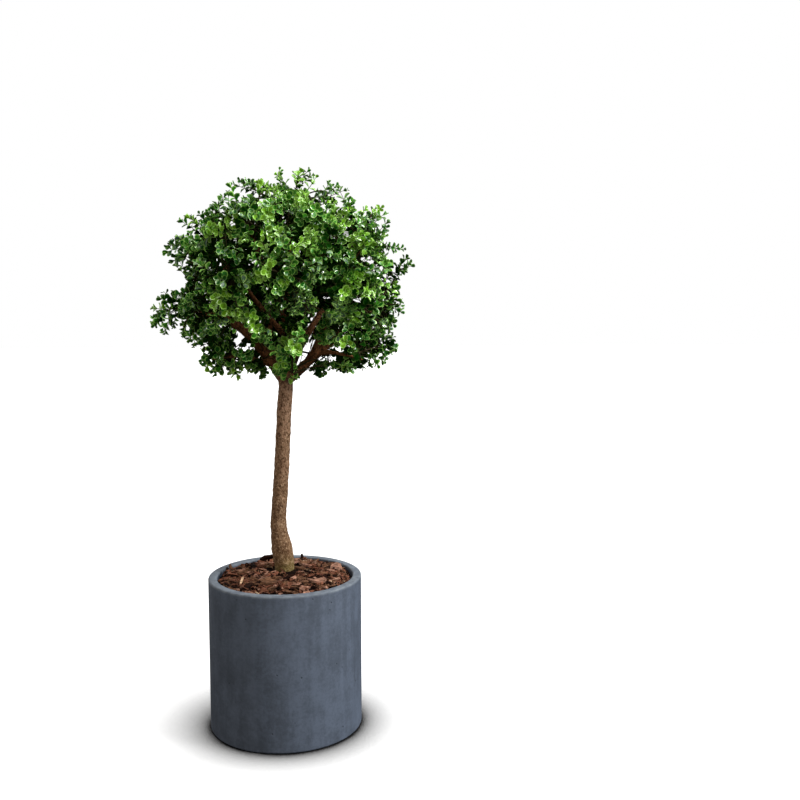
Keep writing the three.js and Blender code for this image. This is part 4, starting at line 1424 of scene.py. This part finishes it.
    def chip(self, random, place, size, turns, room):
        """One flake of bark: a ragged flat slab with a slightly smaller underside"""
        corners = 8
        angles = np.linspace(0, 2 * math.pi, corners, endpoint=False) + random.normal(0, 0.15, corners)
        ragged = random.uniform(0.66, 1.1, corners)
        outline = np.stack((np.cos(angles) * ragged * size[0] / 2, np.sin(angles) * ragged * size[1] / 2), 1)
        warp = random.normal(0, 0.3, (2, corners)) * size[2]
        top = np.column_stack((outline * 0.94, np.full(corners, size[2] / 2) + warp[0]))
        under = np.column_stack((outline, np.full(corners, -size[2] / 2) + warp[1]))
        points = np.concatenate((top, under))
        turn, roll, pitch = (Matrix.Rotation(math.radians(a), 3, axis) for a, axis in zip(turns, "ZXY"))
        points = points @ np.array(turn @ pitch @ roll).T + np.array(place)
        away = np.hypot(points[:, 0], points[:, 1])
        points[:, :2] *= np.minimum(1, (room - 2 * self.wall_gap) / away)[:, None]
        triangles = [(0, side, side + 1) for side in range(1, corners - 1)]
        triangles += [(corners, corners + side + 1, corners + side) for side in range(1, corners - 1)]
        for side in range(corners):
            after = (side + 1) % corners
            triangles += [(side, corners + side, corners + after), (side, corners + after, after)]
        return points, np.array(triangles)


class BOXBALL_OT_stem(bpy.types.Operator):
    """Make the stem and the boughs as one piece of wood with its bark's relief"""

    bl_idname = "box_ball.stem"
    bl_label = "Stem and boughs"
    bl_options = {"REGISTER", "UNDO"}

    def execute(self, context):
        settings = context.scene.box_ball_stem
        run, radius_at = stem_run()
        heights = run.point(np.linspace(0, 1, 90))[:, 2]
        limbs = [limb("stem", run, radius_at(heights))]
        for name, mass in lay_out_masses().items():
            start, end = mass["radii"]
            limbs.append(limb(f"bough_{name}_wood", mass["bough"], np.linspace(start, end, 18)))
            limbs.append(limb(f"inside_{name}_wood", mass["stem"], np.linspace(end, TWIG_STEM_END, 9)))
        for name, lines in (("inner", INNER_BOUGH), ("thin", THIN_BOUGH)):
            run, radii = lesser_bough(lines)
            limbs.append(limb(f"{name}_bough_wood", run, np.linspace(*radii, 12)))
        deselect_all()
        for piece in limbs:
            piece.select_set(True)
        context.view_layer.objects.active = limbs[0]
        bpy.ops.object.join()
        piece = context.object
        piece.name = "stem_and_boughs"
        piece.data.name = piece.name
        applied(piece, "REMESH", mode="VOXEL", voxel_size=settings.grain)
        applied(piece, "SMOOTH", factor=0.5, iterations=6)
        lumps = self.texture("lumps", "CLOUDS", 0.022, 2)
        fine = self.texture("pimples", "CLOUDS", 0.0055, 1)
        applied(piece, "DISPLACE", texture=lumps, strength=settings.relief * 1.3, mid_level=0.5)
        applied(piece, "DISPLACE", texture=fine, strength=settings.relief * 0.6, mid_level=0.5)
        bpy.data.textures.remove(lumps)
        bpy.data.textures.remove(fine)
        bpy.ops.object.shade_smooth()
        dressed(piece, wood_finish(settings), WOOD_NODES)
        return {"FINISHED"}

    def texture(self, name, kind, size, depth):
        made = bpy.data.textures.new(name, kind)
        made.noise_scale = size
        made.noise_depth = depth
        return made


class BOXBALL_OT_head(bpy.types.Operator):
    """Grow the head's twigs and leaves on from the boughs"""

    bl_idname = "box_ball.head"
    bl_label = "Twigs and leaves"
    bl_options = {"REGISTER", "UNDO"}

    # Each green's share of the light edge: its paler margin and a painted highlight on the rim
    edge_and_highlight_shares = {"deep": 0.38, "middle": 0.62, "fresh": 0.80, "grey": 0.72, "shade": 0.03}
    gloss = {"deep": 0.7, "middle": 1.0, "fresh": 1.0, "grey": 1.0, "shade": 0.0}

    def execute(self, context):
        settings = context.scene.box_ball_head
        twig_parts, greens, fan, band = grow_head(settings)
        points, triangles = joined_arrays(twig_parts)
        twigs = piece_from_arrays("twigs", points, triangles)
        dressed(twigs, twig_finish(settings), FOLIAGE_NODES)
        for kind, leaves in greens.items():
            heart_colour = scaled(settings.deep, 0.24) if kind == "shade" else getattr(settings, kind)[:]
            rim_and_highlight_colour = blended(heart_colour, settings.edge, self.edge_and_highlight_shares[kind])
            for part, faces, colour in (("hearts", fan, heart_colour), ("rims", band, rim_and_highlight_colour)):
                name = f"leaf_{part}_{kind}"
                piece = self.leaf_piece(name, leaves, faces)
                dressed(piece, leaf_finish(name, colour, self.gloss[kind]), FOLIAGE_NODES)
        return {"FINISHED"}

    def leaf_piece(self, name, leaves, faces):
        """One part of every leaf of one green, joined as one piece"""
        used = np.unique(faces)
        renumbered = np.searchsorted(used, faces)
        points = leaves[:, used]
        starts = np.arange(len(leaves))[:, None, None] * len(used)
        triangles = (renumbered[None] + starts).reshape(-1, 3)
        return piece_from_arrays(name, points.reshape(-1, 3), triangles)


class BOXBALL_PT_panel(bpy.types.Panel):
    """Everything that makes the box ball, in order"""

    bl_label = "Box Ball"
    bl_idname = "BOXBALL_PT_panel"
    bl_space_type = "VIEW_3D"
    bl_region_type = "UI"
    bl_category = "Box Ball"

    def draw(self, context):
        for operator, settings_name in STEPS:
            box = self.layout.box()
            box.operator(operator.bl_idname)
            settings = getattr(context.scene, settings_name)
            for name in type(settings).__annotations__:
                box.prop(settings, name)


SETTINGS = {
    "box_ball_stage": StageSettings,
    "box_ball_planter": PlanterSettings,
    "box_ball_bark": BarkSettings,
    "box_ball_stem": StemSettings,
    "box_ball_head": HeadSettings,
}
STEPS = (
    (BOXBALL_OT_stage, "box_ball_stage"),
    (BOXBALL_OT_planter, "box_ball_planter"),
    (BOXBALL_OT_bark, "box_ball_bark"),
    (BOXBALL_OT_stem, "box_ball_stem"),
    (BOXBALL_OT_head, "box_ball_head"),
)


def register():
    for name, settings in SETTINGS.items():
        bpy.utils.register_class(settings)
        setattr(bpy.types.Scene, name, bpy.props.PointerProperty(type=settings))
    for operator, _ in STEPS:
        bpy.utils.register_class(operator)
    bpy.utils.register_class(BOXBALL_PT_panel)


def unregister():
    bpy.utils.unregister_class(BOXBALL_PT_panel)
    for operator, _ in reversed(STEPS):
        bpy.utils.unregister_class(operator)
    for name, settings in reversed(SETTINGS.items()):
        delattr(bpy.types.Scene, name)
        bpy.utils.unregister_class(settings)


def main():
    register()
    bpy.ops.box_ball.stage()
    bpy.ops.box_ball.planter()
    bpy.ops.box_ball.bark()
    bpy.ops.box_ball.stem()
    bpy.ops.box_ball.head()
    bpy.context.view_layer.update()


if __name__ == "__main__":
    main()
